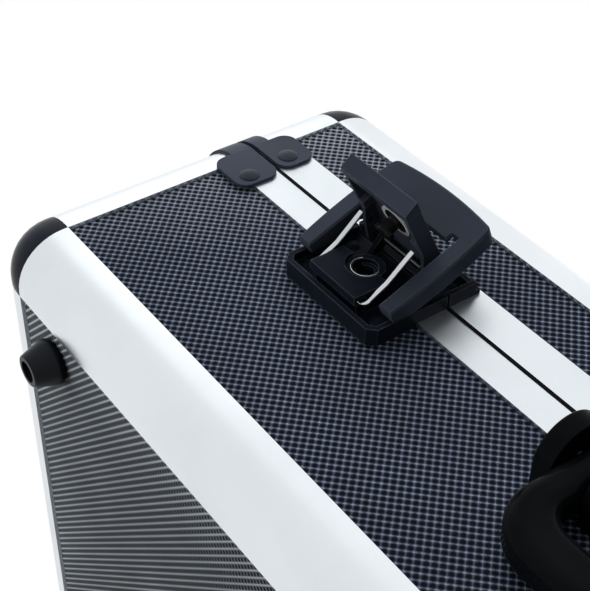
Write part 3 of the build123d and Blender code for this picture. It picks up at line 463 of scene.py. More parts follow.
@dataclass(frozen=True)
class Finish:
    """A finish: how one surface of the case looks.

    Attributes:
        name: the material's name.
        colour: the colour away from marks and edges.
        roughness: the roughness away from marks.
        metallic: 1 for metal.
        specular: strength of the gloss, 0.5 for plain plastic.
        round_edge: radius by which edges look rounded, in metres.
        edge_highlight_share: how far edges turn towards edge_highlight_colour, a painted highlight along
            them.
        edge_highlight_colour: the colour of the painted highlight along edges.
        mark_tone: how far handling marks turn towards mark_shade.
        mark_shade: factor and lift that give the colour of marks.
        mark_rough: roughness that marks add.
        grain: depth of the fine grain in metres, and how much of it shows.
        edge_highlight_range: the turn of the normal, as a cosine, at which the painted edge highlight is
            full and is gone.
        edge_highlight_samples: how finely the painted edge highlight is worked out.
        relief_samples: how finely the rounded edges are.
    """

    name: str
    colour: Colour
    roughness: float
    metallic: float = 0.0
    specular: float = 0.5
    round_edge: float = 0.0
    edge_highlight_share: float = 0.0
    edge_highlight_colour: Colour = grey(0.3, (0.9, 1.0, 1.15))
    mark_tone: float = 0.5
    mark_shade: tuple[float, float] = (1.5, 0.004)
    mark_rough: float = 0.07
    grain: tuple[float, float] = (0.04 * MM, 0.15)
    edge_highlight_range: tuple[float, float] = (0.8, 0.99)
    edge_highlight_samples: int = 6
    relief_samples: int = 4

    def build(self) -> bpy.types.Material:
        """Makes the material.

        Returns:
            The new material.
        """
        material, sheet, shader = new_material(self.name)
        shader.inputs["Metallic"].default_value = self.metallic
        shader.inputs["Specular IOR Level"].default_value = self.specular
        self.dress(sheet, shader)
        return material

    def dress(self, sheet: Sheet, shader: Node) -> None:
        """Joins this finish's own nodes to the shader.

        Args:
            sheet: the material's tree.
            shader: its Principled node.
        """
        marks = self.handled(sheet, shader)
        base = self.highlight_edges(sheet, self.marked(sheet, marks["Mask"]))
        sheet.put(base, shader.inputs["Base Color"])
        self.relief(sheet, shader, marks["Grain"], *self.grain)

    def handled(self, sheet: Sheet, shader: Node) -> Sequence[Socket]:
        """Places handling marks and joins the roughness that they leave.

        Args:
            sheet: the material's tree.
            shader: its Principled node.

        Returns:
            The marks' outputs, by name.
        """
        marks = HandlingGroup.place(
            sheet, Marks=self.mark_tone, Plain_Roughness=self.roughness, Added_Roughness=self.mark_rough
        )
        sheet.put(marks["Roughness"], shader.inputs["Roughness"])
        return marks

    def marked(self, sheet: Sheet, mask: Socket) -> Socket:
        """The finish's colour, turned towards that of marks where the mask is strong."""
        return sheet.blend(mask, self.colour, scaled(self.colour, *self.mark_shade))

    def rounded(self, sheet: Sheet, samples: int) -> Socket:
        """The normal that the piece has with rounded edges.

        Args:
            sheet: the material's tree.
            samples: how finely it is worked out.

        Returns:
            The normal's socket.
        """
        return sheet.feed(sheet.add("ShaderNodeBevel", samples=samples), self.round_edge).outputs[0]

    def highlight_edges(self, sheet: Sheet, base: Value) -> Value:
        """Paints a highlight along the piece's edges as a lighter colour, where the finish has one.

        Args:
            sheet: the material's tree.
            base: the colour away from the edges.

        Returns:
            The colour with light edges.
        """
        if not self.edge_highlight_share:
            return base
        # Painted highlight: the colour lightens where the rounded normal turns away from the true one, along
        # edges.
        flat = sheet.add("ShaderNodeNewGeometry").outputs["True Normal"]
        turn = sheet.vector("DOT_PRODUCT", self.rounded(sheet, self.edge_highlight_samples), flat)
        mask = sheet.span(turn.outputs["Value"], *self.edge_highlight_range, self.edge_highlight_share, 0.0)
        return sheet.blend(mask, base, self.edge_highlight_colour)

    def relief(self, sheet: Sheet, shader: Node, height: Value, depth: float, share: float) -> None:
        """Gives the shader a bumped normal, over rounded edges where the finish has them.

        Args:
            sheet: the material's tree.
            shader: its Principled node.
            height: the relief's height, from 0 to 1.
            depth: the relief's depth in metres.
            share: how much of it shows.
        """
        bump = sheet.add("ShaderNodeBump")
        bump.inputs["Strength"].default_value = share
        bump.inputs["Distance"].default_value = depth
        sheet.put(height, bump.inputs["Height"])
        if self.round_edge:
            sheet.put(self.rounded(sheet, self.relief_samples), bump.inputs["Normal"])
        sheet.put(bump.outputs[0], shader.inputs["Normal"])


@dataclass(frozen=True)
class WaffleLaminate(Finish):
    """Black laminate with a waffle emboss, with a painted highlight along its ridges and a painted sheen at
    low angles.

    Attributes:
        ridge_highlight_colour: the colour along a ridge, a painted highlight.
        knot_highlight_colour: the colour where ridges cross, a brighter painted highlight.
        glance_sheen_colour: the colour of ridges seen at a low angle, a painted sheen.
        glance_sheen_range: where that painted sheen starts and is full, 1 being level with the panel.
        facing: the axes that the emboss follows.
        balance: how strongly the two families of ridges show, a painted light that falls from one side.
        evenness: how strongly ridges show where no mark makes them stronger.
        pit_roughness: the roughness between ridges.
        pitch: from ridge to ridge, in metres.
        depth: from pit to ridge, in metres.
    """

    ridge_highlight_colour: Colour = grey(0.055, (0.78, 1.0, 1.52))
    knot_highlight_colour: Colour = grey(0.255, (0.84, 1.0, 1.36))
    glance_sheen_colour: Colour = grey(0.85, (0.92, 1.0, 1.07))
    glance_sheen_range: tuple[float, float] = (0.38, 0.72)
    facing: Facing = Facing.FRONT
    balance: tuple[float, float] = (0.7, 1.0)
    mark_tone: float = 0.14
    evenness: float = 0.82
    pit_roughness: float = 0.7
    pitch: float = 2.5 * MM
    depth: float = 0.55 * MM

    def dress(self, sheet: Sheet, shader: Node) -> None:
        """Joins the waffle to colour, roughness and normal.

        Args:
            sheet: the material's tree.
            shader: its Principled node.
        """
        axes = sheet.axes()
        along, up = (axes[number] for number in self.facing.value)
        # Painted light: one family of ridges shows more strongly than the other, as if lit from one side.
        first, second = self.balance
        waffle = WaffleGroup.place(sheet, Along=along, Up=up, Pitch=self.pitch, First=first, Second=second)
        marks = HandlingGroup.place(sheet, Marks=self.mark_tone)
        share = sheet.math("MULTIPLY", waffle["Ridge"], sheet.math("ADD", marks["Mask"], self.evenness))
        # Painted sheen: ridges turn towards a pale colour as the panel is seen at a lower angle.
        sheen_facing = sheet.add("ShaderNodeLayerWeight").outputs["Facing"]
        # Painted highlight: ridges, and more so their crossings, are lighter in colour than the pits.
        crest_highlight = sheet.blend(waffle["Knot"], self.ridge_highlight_colour, self.knot_highlight_colour)
        ridge = sheet.blend(sheet.span(sheen_facing, *self.glance_sheen_range), crest_highlight, self.glance_sheen_colour)
        rough = sheet.span(waffle["Ridge"], 0.0, 1.0, self.pit_roughness, self.roughness)
        sheet.put(sheet.blend(share, self.colour, ridge), shader.inputs["Base Color"])
        sheet.put(rough, shader.inputs["Roughness"])
        self.relief(sheet, shader, waffle["Height"], self.depth, 1.0)


@dataclass(frozen=True)
class SatinMetal(Finish):
    """Satin metal, with fine grooves along its length where it is drawn.

    Attributes:
        grooves: whether it has grooves, and which way they step.
        pitch: from groove to groove, in metres.
        groove_shade_share: how far the bottoms of grooves turn towards half the metal's colour, a painted
            shade in them.
        groove_relief: depth of the grooves in metres, and how much of it shows.
    """

    metallic: float = 1.0
    mark_tone: float = 0.35
    mark_shade: tuple[float, float] = (0.86, 0.0)
    mark_rough: float = 0.06
    grain: tuple[float, float] = (0.02 * MM, 0.2)
    grooves: Grooves = Grooves.NONE
    pitch: float = 1.05 * MM
    groove_shade_share: float = 0.06
    groove_relief: tuple[float, float] = (0.1 * MM, 0.6)

    def dress(self, sheet: Sheet, shader: Node) -> None:
        """Joins faint marks, and grooves where the metal has them.

        Args:
            sheet: the material's tree.
            shader: its Principled node.
        """
        marks = self.handled(sheet, shader)
        base = self.marked(sheet, marks["Mask"])
        height, shape = marks["Grain"], self.grain
        if self.grooves is not Grooves.NONE:
            drawn = GrooveGroup.place(sheet, Across=sheet.axes()[self.grooves.value], Pitch=self.pitch)
            # Painted shade: the bottoms of the grooves are darker in colour.
            share = sheet.math("MULTIPLY", drawn["Line"], self.groove_shade_share)
            base = sheet.blend(share, base, scaled(self.colour, 0.5))
            height, shape = drawn["Height"], self.groove_relief
        sheet.put(base, shader.inputs["Base Color"])
        self.relief(sheet, shader, height, *shape)


@dataclass(frozen=True)
class RingedLock(Finish):
    """A dark lock whose outer ring is bright metal, told apart by distance from the lock's axis.

    Attributes:
        centre: a point on the axis.
        axis: the axis's direction, of length 1.
        ring_from: the distance from the axis at which the ring starts, in metres.
        ring_blur: the width over which it starts.
        ring_colour: the ring's colour.
        ring_metallic: how metallic the ring is.
    """

    mark_rough: float = 0.08
    grain: tuple[float, float] = (0.02 * MM, 0.2)
    centre: Triple = (0.0, 0.0, 0.0)
    axis: Triple = (0.0, 0.0, 1.0)
    ring_from: float = 5.4 * MM
    ring_blur: float = 0.05 * MM
    ring_colour: Colour = grey(0.9)
    ring_metallic: float = 0.6

    def dress(self, sheet: Sheet, shader: Node) -> None:
        """Joins the ring's mask to colour and metal, and faint marks to roughness.

        Args:
            sheet: the material's tree.
            shader: its Principled node.
        """
        marks = self.handled(sheet, shader)
        away = sheet.vector("SUBTRACT", sheet.place(), self.centre)
        turned = sheet.vector("CROSS_PRODUCT", away.outputs["Vector"], self.axis)
        distance = sheet.vector("LENGTH", turned.outputs["Vector"]).outputs["Value"]
        ring = sheet.span(distance, self.ring_from - self.ring_blur, self.ring_from)
        sheet.put(sheet.blend(ring, self.colour, self.ring_colour), shader.inputs["Base Color"])
        sheet.put(sheet.math("MULTIPLY", ring, self.ring_metallic), shader.inputs["Metallic"])
        self.relief(sheet, shader, marks["Grain"], *self.grain)


@dataclass(frozen=True)
class SoftFoam(Finish):
    """Open-cell foam.

    Attributes:
        cell_noise: cells per metre, and octaves of detail.
        cell_range: where the walls between cells start and are full.
        cell_shade: factor on the colour inside a cell, a painted shade in its hollow.
        cell_relief: depth of the cells in metres, and how much of it shows.
    """

    cell_noise: tuple[float, float] = (900.0, 3.0)
    cell_range: tuple[float, float] = (0.35, 0.6)
    cell_shade: float = 0.45
    cell_relief: tuple[float, float] = (0.8 * MM, 0.7)

    def dress(self, sheet: Sheet, shader: Node) -> None:
        """Joins the foam's cells to colour and normal.

        Args:
            sheet: the material's tree.
            shader: its Principled node.
        """
        cells = sheet.noise(*self.cell_noise)
        walls = sheet.span(cells, *self.cell_range)
        # Painted shade: the hollows of the cells are darker than the walls between them.
        base = sheet.blend(walls, scaled(self.colour, self.cell_shade), self.colour)
        sheet.put(base, shader.inputs["Base Color"])
        shader.inputs["Roughness"].default_value = self.roughness
        self.relief(sheet, shader, cells, *self.cell_relief)


@dataclass(frozen=True)
class FinishSet:
    """Every finish on the case.

    Attributes:
        flat_painted_light_balance: how strongly the two families of ridges show on the floor and the top, a
            painted light from one side.
    """

    laminate: WaffleLaminate = WaffleLaminate("waffle", grey(0.003, (0.7, 1.0, 1.7)), 0.45, specular=0.03)
    # Painted light: on the floor and the top one family of ridges is much stronger, as if lit from one side.
    flat_painted_light_balance: tuple[float, float] = (1.0, 0.45)
    aluminium: SatinMetal = SatinMetal("satin_aluminium", grey(0.885, (0.955, 1.0, 1.04)), 0.3)
    strips: SatinMetal = SatinMetal(
        "grooved_aluminium", grey(0.84, (0.94, 1.0, 1.045)), 0.3, grooves=Grooves.UPWARDS
    )
    steel: SatinMetal = SatinMetal("bright_steel", grey(0.66, (0.96, 1.0, 1.03)), 0.24)
    dark_steel: SatinMetal = SatinMetal("dark_steel", grey(0.09), 0.3)
    corner: Finish = Finish("gloss_black_corner", grey(0.006, (0.75, 1.0, 1.6)), 0.2, specular=0.05)
    seam: Finish = Finish(
        "satin_black_seam", grey(0.027, (0.8, 1.0, 1.5)), 0.42, specular=0.06, round_edge=0.5 * MM
    )
    rivet: Finish = Finish("black_rivet", grey(0.02, (0.8, 1.0, 1.4)), 0.3, specular=0.11)
    rubber: Finish = Finish(
        "foot_rubber", grey(0.009, (0.8, 1.0, 1.3)), 0.3, specular=0.1, round_edge=0.4 * MM
    )
    # Painted light: one black plastic in a lit copy for cover and lever, and a shaded copy for tray, keeper
    # and rivets.
    latch: Finish = Finish(
        "latch_black", grey(0.028, (0.84, 1.0, 1.42)), 0.38, specular=0.012,
        round_edge=0.5 * MM, edge_highlight_share=0.3,
    )
    inner: Finish = Finish(
        "latch_inner_black", grey(0.007, (0.75, 1.0, 1.6)), 0.34, specular=0.015,
        round_edge=0.4 * MM, edge_highlight_share=0.3,
    )
    lock: RingedLock = RingedLock("ringed_lock", grey(0.006), 0.2, specular=0.3)
    handle: Finish = Finish(
        "gloss_handle", grey(0.002, (0.7, 1.0, 1.3)), 0.14, specular=0.022, round_edge=0.5 * MM
    )
    # Painted shade: a dark seal put in the parting gap, where the case shows shade.
    seal: Finish = Finish("parting_seal_rubber", grey(0.003, (0.8, 1.0, 1.3)), 0.8, specular=0.03)
    foam: SoftFoam = SoftFoam("grey_foam", grey(0.05), 0.95)

    def waffle(self, facing: Facing) -> WaffleLaminate:
        """The laminate for a panel that faces one way.

        Args:
            facing: the pair of axes in the panel's face.

        Returns:
            The finish.
        """
        balance = self.flat_painted_light_balance if facing is Facing.FLAT else self.laminate.balance
        return replace(self.laminate, name=f"waffle_{facing.name.lower()}", facing=facing, balance=balance)


class Wardrobe:
    """Builds each finish once and puts it on pieces."""

    def __init__(self) -> None:
        """Starts with no materials."""
        self.made: dict[str, bpy.types.Material] = {}

    def put(self, obj: Piece, finish: Finish) -> None:
        """Puts a finish on every material slot of a piece.

        Args:
            obj: the piece.
            finish: its finish.
        """
        if finish.name not in self.made:
            self.made[finish.name] = finish.build()
        material = self.made[finish.name]
        if not obj.material_slots:
            obj.data.materials.append(material)
        for place in obj.material_slots:
            place.material = material


def clear_selection() -> None:
    """Deselects every object."""
    for obj in bpy.context.view_layer.objects:
        obj.select_set(False)


def activate(obj: Piece) -> None:
    """Makes a piece the active one and the only one that is selected."""
    clear_selection()
    obj.select_set(True)
    bpy.context.view_layer.objects.active = obj


def begin(add: Callable[..., object], scale: Sequence[float] = (1, 1, 1), **settings: object) -> Piece:
    """Adds a primitive to shape a piece from.

    Args:
        add: the operator that adds it.
        scale: its scale on each axis.
        settings: the operator's other settings.

    Returns:
        The new piece, with its place, turn and scale in its mesh.
    """
    clear_selection()
    add(**settings)
    obj = bpy.context.active_object
    obj.scale = scale
    activate(obj)
    bpy.ops.object.transform_apply(location=True, rotation=True, scale=True)
    return obj


def block(low: Sequence[float], high: Sequence[float]) -> Piece:
    """Begins a piece as a block between two corners.

    Args:
        low: its lowest corner in metres.
        high: its highest corner.

    Returns:
        The new piece.
    """
    middle = [(a + b) / 2 for a, b in zip(low, high)]
    size = [b - a for a, b in zip(low, high)]
    return begin(bpy.ops.mesh.primitive_cube_add, size, size=1, location=middle)


def duplicate(obj: Piece, shift: Vector = Vector()) -> Piece:
    """Copies a piece with its own mesh.

    Args:
        obj: the piece to copy.
        shift: how far the copy's mesh moves.

    Returns:
        The copy, parented to nothing.
    """
    copy = obj.copy()
    copy.data = obj.data.copy()
    copy.data.transform(Matrix.Translation(shift))
    copy.parent = None
    bpy.context.scene.collection.objects.link(copy)
    return copy


def open_mesh(obj: Piece, part: MeshPart) -> None:
    """Opens a piece in edit mode with everything selected.

    Args:
        obj: the piece.
        part: the kind of part that is selected from now on.
    """
    activate(obj)
    bpy.ops.object.mode_set(mode="EDIT")
    bpy.ops.mesh.select_mode(type=part.name)
    bpy.ops.mesh.select_all(action="SELECT")


def pick(obj: Piece, part: MeshPart, wanted: Callable[[Vector, Vector], bool]) -> None:
    """Opens a piece in edit mode with only some of its edges or faces selected.

    Args:
        obj: the piece.
        part: whether edges or faces are picked.
        wanted: says from the middle of an edge or face, and the edge's direction or the face's normal,
            whether it is picked.
    """
    open_mesh(obj, part)
    bpy.ops.mesh.select_all(action="DESELECT")
    mesh = bmesh.from_edit_mesh(obj.data)
    for item in getattr(mesh, part.value):
        corners = [corner.co for corner in item.verts]
        middle = sum(corners, Vector()) / len(corners)
        way = item.normal if part is MeshPart.FACE else (corners[1] - corners[0]).normalized()
        if wanted(middle, way):
            item.select_set(True)
    bmesh.update_edit_mesh(obj.data)


def close_mesh() -> None:
    """Turns all faces of the open mesh outwards and leaves edit mode."""
    bpy.ops.mesh.select_all(action="SELECT")
    bpy.ops.mesh.normals_make_consistent(inside=False)
    bpy.ops.object.mode_set(mode="OBJECT")


def smooth(obj: Piece, degrees: float) -> None:
    """Shades a piece smooth wherever its faces meet at less than an angle."""
    activate(obj)
    bpy.ops.object.shade_smooth_by_angle(angle=math.radians(degrees))


def combine(obj: Piece, tool: Piece, how: Combining) -> None:
    """Joins a tool to a piece or cuts it out, and removes the tool.

    Args:
        obj: the piece.
        tool: the shape that joins or cuts.
        how: which of the two it does.
    """
    step = obj.modifiers.new("combine", "BOOLEAN")
    step.operation = how.value
    step.solver = "EXACT"
    step.object = tool
    activate(obj)
    bpy.ops.object.modifier_apply(modifier=step.name)
    bpy.data.objects.remove(tool, do_unlink=True)


@dataclass
class SubAssembly:
    """A part of the case that is dressed or built together.

    Attributes:
        wardrobe: the materials that all sub-assemblies share.
        finishes: the case's finishes.
    """

    frame: dict
    wardrobe: Wardrobe
    finishes: FinishSet

    def joint(self, name: str) -> dict:
        """The frame's entry for the joint of that name."""
        return next(joint for joint in self.frame["joints"] if joint["name"] == name)

    @property
    def parting(self) -> float:
        """The height at which the lid meets the base, which is that of the lid's hinge, in metres."""
        return self.joint("lid_hinge")["pos_m"][2]

    def box(self, node: str) -> tuple[Vector, Vector]:
        """The lowest and the highest corner of a solid, in metres."""
        low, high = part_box(node)
        return Vector(low), Vector(high)

    def dress_nodes(self, finish: Finish, *names: str) -> None:
        """Puts one finish on several solids of the model.

        Args:
            finish: the finish.
            names: the nodes' names.
        """
        for name in names:
            self.wardrobe.put(self.frame["nodes"][name], finish)
            log.info("dressed %s with %s", name, finish.name)

    def own(self, obj: Piece, name: str, body: str, finish: Finish, slot: str) -> None:
        """Names a new piece, gives it its finish and lets it ride on a body.

        Args:
            obj: the new piece.
            name: its name.
            body: the body that carries it.
            finish: its finish.
            slot: the record's material slot; not used.
        """
        obj.name = name
        obj.data.name = name
        self.wardrobe.put(obj, finish)
        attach(obj, body)
        log.info("built %s on %s", name, body)


@dataclass
class CaseShell(SubAssembly):
    """Panels, edge profiles, closing strips, seam covers and ball corners of the base and the lid.

    Attributes:
        seal_proud: how far the seal stands out from the closing strips.
        seal_width: from its outer edge to its inner one.
        seal_height: how tall it is, half above the parting and half below.
        seal_corner: the radius of its corners.
        seal_steps: how many edges a corner has.
        seal_smooth: the angle up to which it is shaded smooth, in degrees.
    """

    seal_proud: float = 0.1 * MM
    seal_width: float = 3.0 * MM
    seal_height: float = 1.7 * MM
    seal_corner: float = 20.0 * MM
    seal_steps: int = 10
    seal_smooth: float = 30.0

    def build(self) -> None:
        """Builds the dark seal that lies round the base at the parting, and paints the shade in the parting
        gap.
        """
        low, high = self.box("base_closing_profiles")
        middle, size = (low + high) / 2, high - low
        obj = begin(
            bpy.ops.mesh.primitive_plane_add,
            (size.x + 2 * self.seal_proud, size.y + 2 * self.seal_proud, 1),
            size=1,
            location=(middle.x, middle.y, self.parting - self.seal_height / 2),
        )
        open_mesh(obj, MeshPart.VERT)
        bpy.ops.mesh.bevel(offset=self.seal_corner, segments=self.seal_steps, affect="VERTICES")
        bpy.ops.mesh.select_all(action="SELECT")
        bpy.ops.mesh.inset(thickness=self.seal_width)
        bpy.ops.mesh.delete(type="FACE")
        bpy.ops.mesh.select_all(action="SELECT")
        bpy.ops.mesh.extrude_region_move(TRANSFORM_OT_translate={"value": (0, 0, self.seal_height)})
        close_mesh()
        smooth(obj, self.seal_smooth)
        self.own(obj, "parting_seal", "base", self.finishes.seal, "foot_rubber")

    def dress(self) -> None:
        """Gives every panel, profile, seam cover and corner its finish."""
        looks = self.finishes
        for half, flat, edge in (("base", "floor", "bottom"), ("lid", "top", "top")):
            self.dress_nodes(looks.waffle(Facing.FRONT), f"{half}_front_panel", f"{half}_rear_panel")
            self.dress_nodes(looks.waffle(Facing.SIDE), *(f"{half}_side_panel_{side}" for side in SIDES))
            self.dress_nodes(looks.waffle(Facing.FLAT), f"{half}_{flat}_panel")
            self.dress_nodes(looks.aluminium, f"{half}_{edge}_profiles", f"{half}_upright_profiles")
            self.dress_nodes(looks.strips, f"{half}_closing_profiles")
            self.dress_nodes(looks.corner, f"{half}_ball_corners")
            self.dress_nodes(looks.seam, f"{half}_seam_covers")
            self.dress_nodes(looks.rivet, f"{half}_seam_rivets")


@dataclass
class Feet(SubAssembly):
    """Rubber feet and the screws in them."""

    count: int = 4

    def dress(self) -> None:
        """Gives the feet and screws their finishes."""
        self.dress_nodes(self.finishes.rubber, *(f"rubber_foot_{foot + 1}" for foot in range(self.count)))
        self.dress_nodes(self.finishes.steel, "foot_screws")


@dataclass
class Hinges(SubAssembly):
    """Butt hinges at the rear."""

    def dress(self) -> None:
        """Gives leaves, pins and rivets their finish."""
        for half in ("base", "lid"):
            leaves = (f"hinge_{half}_leaf_{side}" for side in SIDES)
            self.dress_nodes(self.finishes.steel, *leaves, f"hinge_{half}_rivets")
        self.dress_nodes(self.finishes.steel, "hinge_pins")


@dataclass
class Handle(SubAssembly):
    """Folding handle with its brackets."""

    def dress(self) -> None:
        """Gives the brackets, grip and pins their finishes."""
        brackets = (f"handle_bracket_{side}" for side in SIDES)
        self.dress_nodes(self.finishes.handle, *brackets, "handle_grip")
        self.dress_nodes(self.finishes.steel, "handle_pins", "handle_screws")


@dataclass
class Latches(SubAssembly):
    """Two draw latches with their trays, keepers, levers, covers, wires and locks.

    Attributes:
        half: half the tray's width.
        low_edge: from the parting down to the tray's lower edge.
        rim: the thickness of the tray's rim.
        rim_height: from the tray's rear face to the top of its rim.
        floor: the thickness of the tray's floor.
        corner: the cut on a lower corner of the new tray.
        corner_ease: how much smaller the cut inside the rim is, as a share of the rim.
        solid_reach: how far the block that fills a corner reaches from it.
        space_reach: how far the space cut out of that block reaches.
        merge: the distance up to which corners of the solid's triangles are one.
        flat_angle: the angle up to which its faces are one, in degrees.
        tray_smooth: the angle up to which the tray is shaded smooth.
        socket_low: from the parting down to the socket's middle.
        socket_height: from the tray's rear face to the socket's top.
        clip_radius: the radius of the clip's ring.
        clip_wire: the radius of its wire.
        clip_cut: how much of the ring's height is cut away at its top.
        clip_steps: edges round the ring and round its wire.
        clip_smooth: the angle up to which it is shaded smooth.
    """

    half: float = 26.0 * MM
    low_edge: float = 34.9 * MM
    rim: float = 2.0 * MM
    rim_height: float = 7.2 * MM
    floor: float = 3.5 * MM
    corner: float = 3.0 * MM
    corner_ease: float = 0.4
    solid_reach: float = 7.0 * MM
    space_reach: float = 6.2 * MM
    merge: float = 0.001 * MM
    flat_angle: float = 0.5
    tray_smooth: float = 14.0
    socket_low: float = 17.1 * MM
    socket_height: float = 11.0 * MM
    clip_radius: float = 5.3 * MM
    clip_wire: float = 0.24 * MM
    clip_cut: float = 3.0 * MM
    clip_steps: tuple[int, int] = (48, 10)
    clip_smooth: float = 40.0

    def build(self) -> None:
        """Rebuilds both trays with the small corners of the real ones, and adds clips on their sockets."""
        pattern = self.clip()
        for side in SIDES:
            self.tray(side)
            low, high = self.box(f"latch_tray_{side}")
            centre = (low.x + high.x) / 2, high.y - self.socket_height, self.parting - self.socket_low
            clip = duplicate(pattern, Vector(centre))
            self.own(clip, f"socket_clip_{side}", "base", self.finishes.steel, "bright_steel")
        bpy.data.objects.remove(pattern, do_unlink=True)

    def clip(self) -> Piece:
        """An open steel ring that faces the front, round the origin.

        Returns:
            The ring, which each latch gets a copy of.
        """
        round_ring, round_wire = self.clip_steps
        obj = begin(
            bpy.ops.mesh.primitive_torus_add,
            rotation=(math.pi / 2, 0, 0),
            major_segments=round_ring,
            minor_segments=round_wire,
            major_radius=self.clip_radius,
            minor_radius=self.clip_wire,
        )
        open_mesh(obj, MeshPart.FACE)
        cut = (0, 0, self.clip_radius - self.clip_cut)
        bpy.ops.mesh.bisect(plane_co=cut, plane_no=(0, 0, 1), clear_outer=True, use_fill=True)
        close_mesh()
        smooth(obj, self.clip_smooth)
        return obj

    def tray(self, side: str) -> None:
        """A tray like its solid, but with only a small cut on its two lower corners.

        Args:
            side: left or right.
        """
        node = f"latch_tray_{side}"
        low, high = self.box(node)
        tray = duplicate(self.frame["nodes"][node])
        open_mesh(tray, MeshPart.EDGE)
        bpy.ops.mesh.remove_doubles(threshold=self.merge)
        bpy.ops.mesh.customdata_custom_splitnormals_clear()
        bpy.ops.mesh.dissolve_limited(angle_limit=math.radians(self.flat_angle))
        close_mesh()
        for sign in (-1, 1):
            for how in Combining:
                combine(tray, self.corner_block((low.x + high.x) / 2, high.y, sign, how), how)
        smooth(tray, self.tray_smooth)
        # The tray takes the shaded copy of the black plastic, a painted shade.
        self.own(tray, f"latch_tray_cornered_{side}", "base", self.finishes.inner, "latch_black")
        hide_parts(node)

    def corner_block(self, middle: float, back: float, sign: int, how: Combining) -> Piece:
        """A block in a lower corner of a tray, which fills it, or is the space in front of the floor there.

        Args:
            middle: the tray's middle in X.
            back: the tray's rear face in Y.
            sign: -1 for the left corner and 1 for the right one.
            how: JOIN for the solid block and CUT for the smaller space in it.

        Returns:
            The block.
        """
        solid = how is Combining.JOIN
        inset = 0.0 if solid else self.rim
        reach = self.solid_reach if solid else self.space_reach
        deep = back if solid else back - self.floor
        front = back - self.rim_height - inset
        outer = middle + sign * (self.half - inset)
        inner = outer - sign * reach
        bottom = self.parting - self.low_edge + inset
        obj = block((min(outer, inner), front, bottom), (max(outer, inner), deep, bottom + reach))
        tip = Vector((outer, bottom))
        pick(obj, MeshPart.EDGE, lambda centre, way: (centre.xz - tip).length < self.rim / 2)
        bpy.ops.mesh.bevel(offset=self.corner - inset * self.corner_ease, segments=1)
        bpy.ops.object.mode_set(mode="OBJECT")
        return obj

    def dress(self) -> None:
        """Gives every latch piece its finish."""
        looks = self.finishes
        for side in SIDES:
            # Cover and lever take the lit copy of the black plastic as a painted sheen, the tray and keeper
            # the shaded copy.
            self.dress_nodes(looks.latch, f"latch_cover_{side}", f"latch_lever_{side}")
            self.dress_nodes(looks.inner, f"latch_tray_{side}", f"latch_keeper_{side}")
            self.dress_nodes(looks.steel, f"latch_spring_{side}")
            self.dress_nodes(looks.dark_steel, f"latch_link_pins_{side}")
            turn = self.joint(f"lock_{side}_turn")
            lock = replace(
                looks.lock, name=f"ringed_lock_{side}", centre=tuple(turn["pos_m"]), axis=tuple(turn["axis"])
            )
            self.dress_nodes(lock, f"latch_lock_{side}")
        self.dress_nodes(looks.inner, "latch_rivets", "keeper_rivets")
        self.dress_nodes(looks.dark_steel, "latch_hinge_pins")


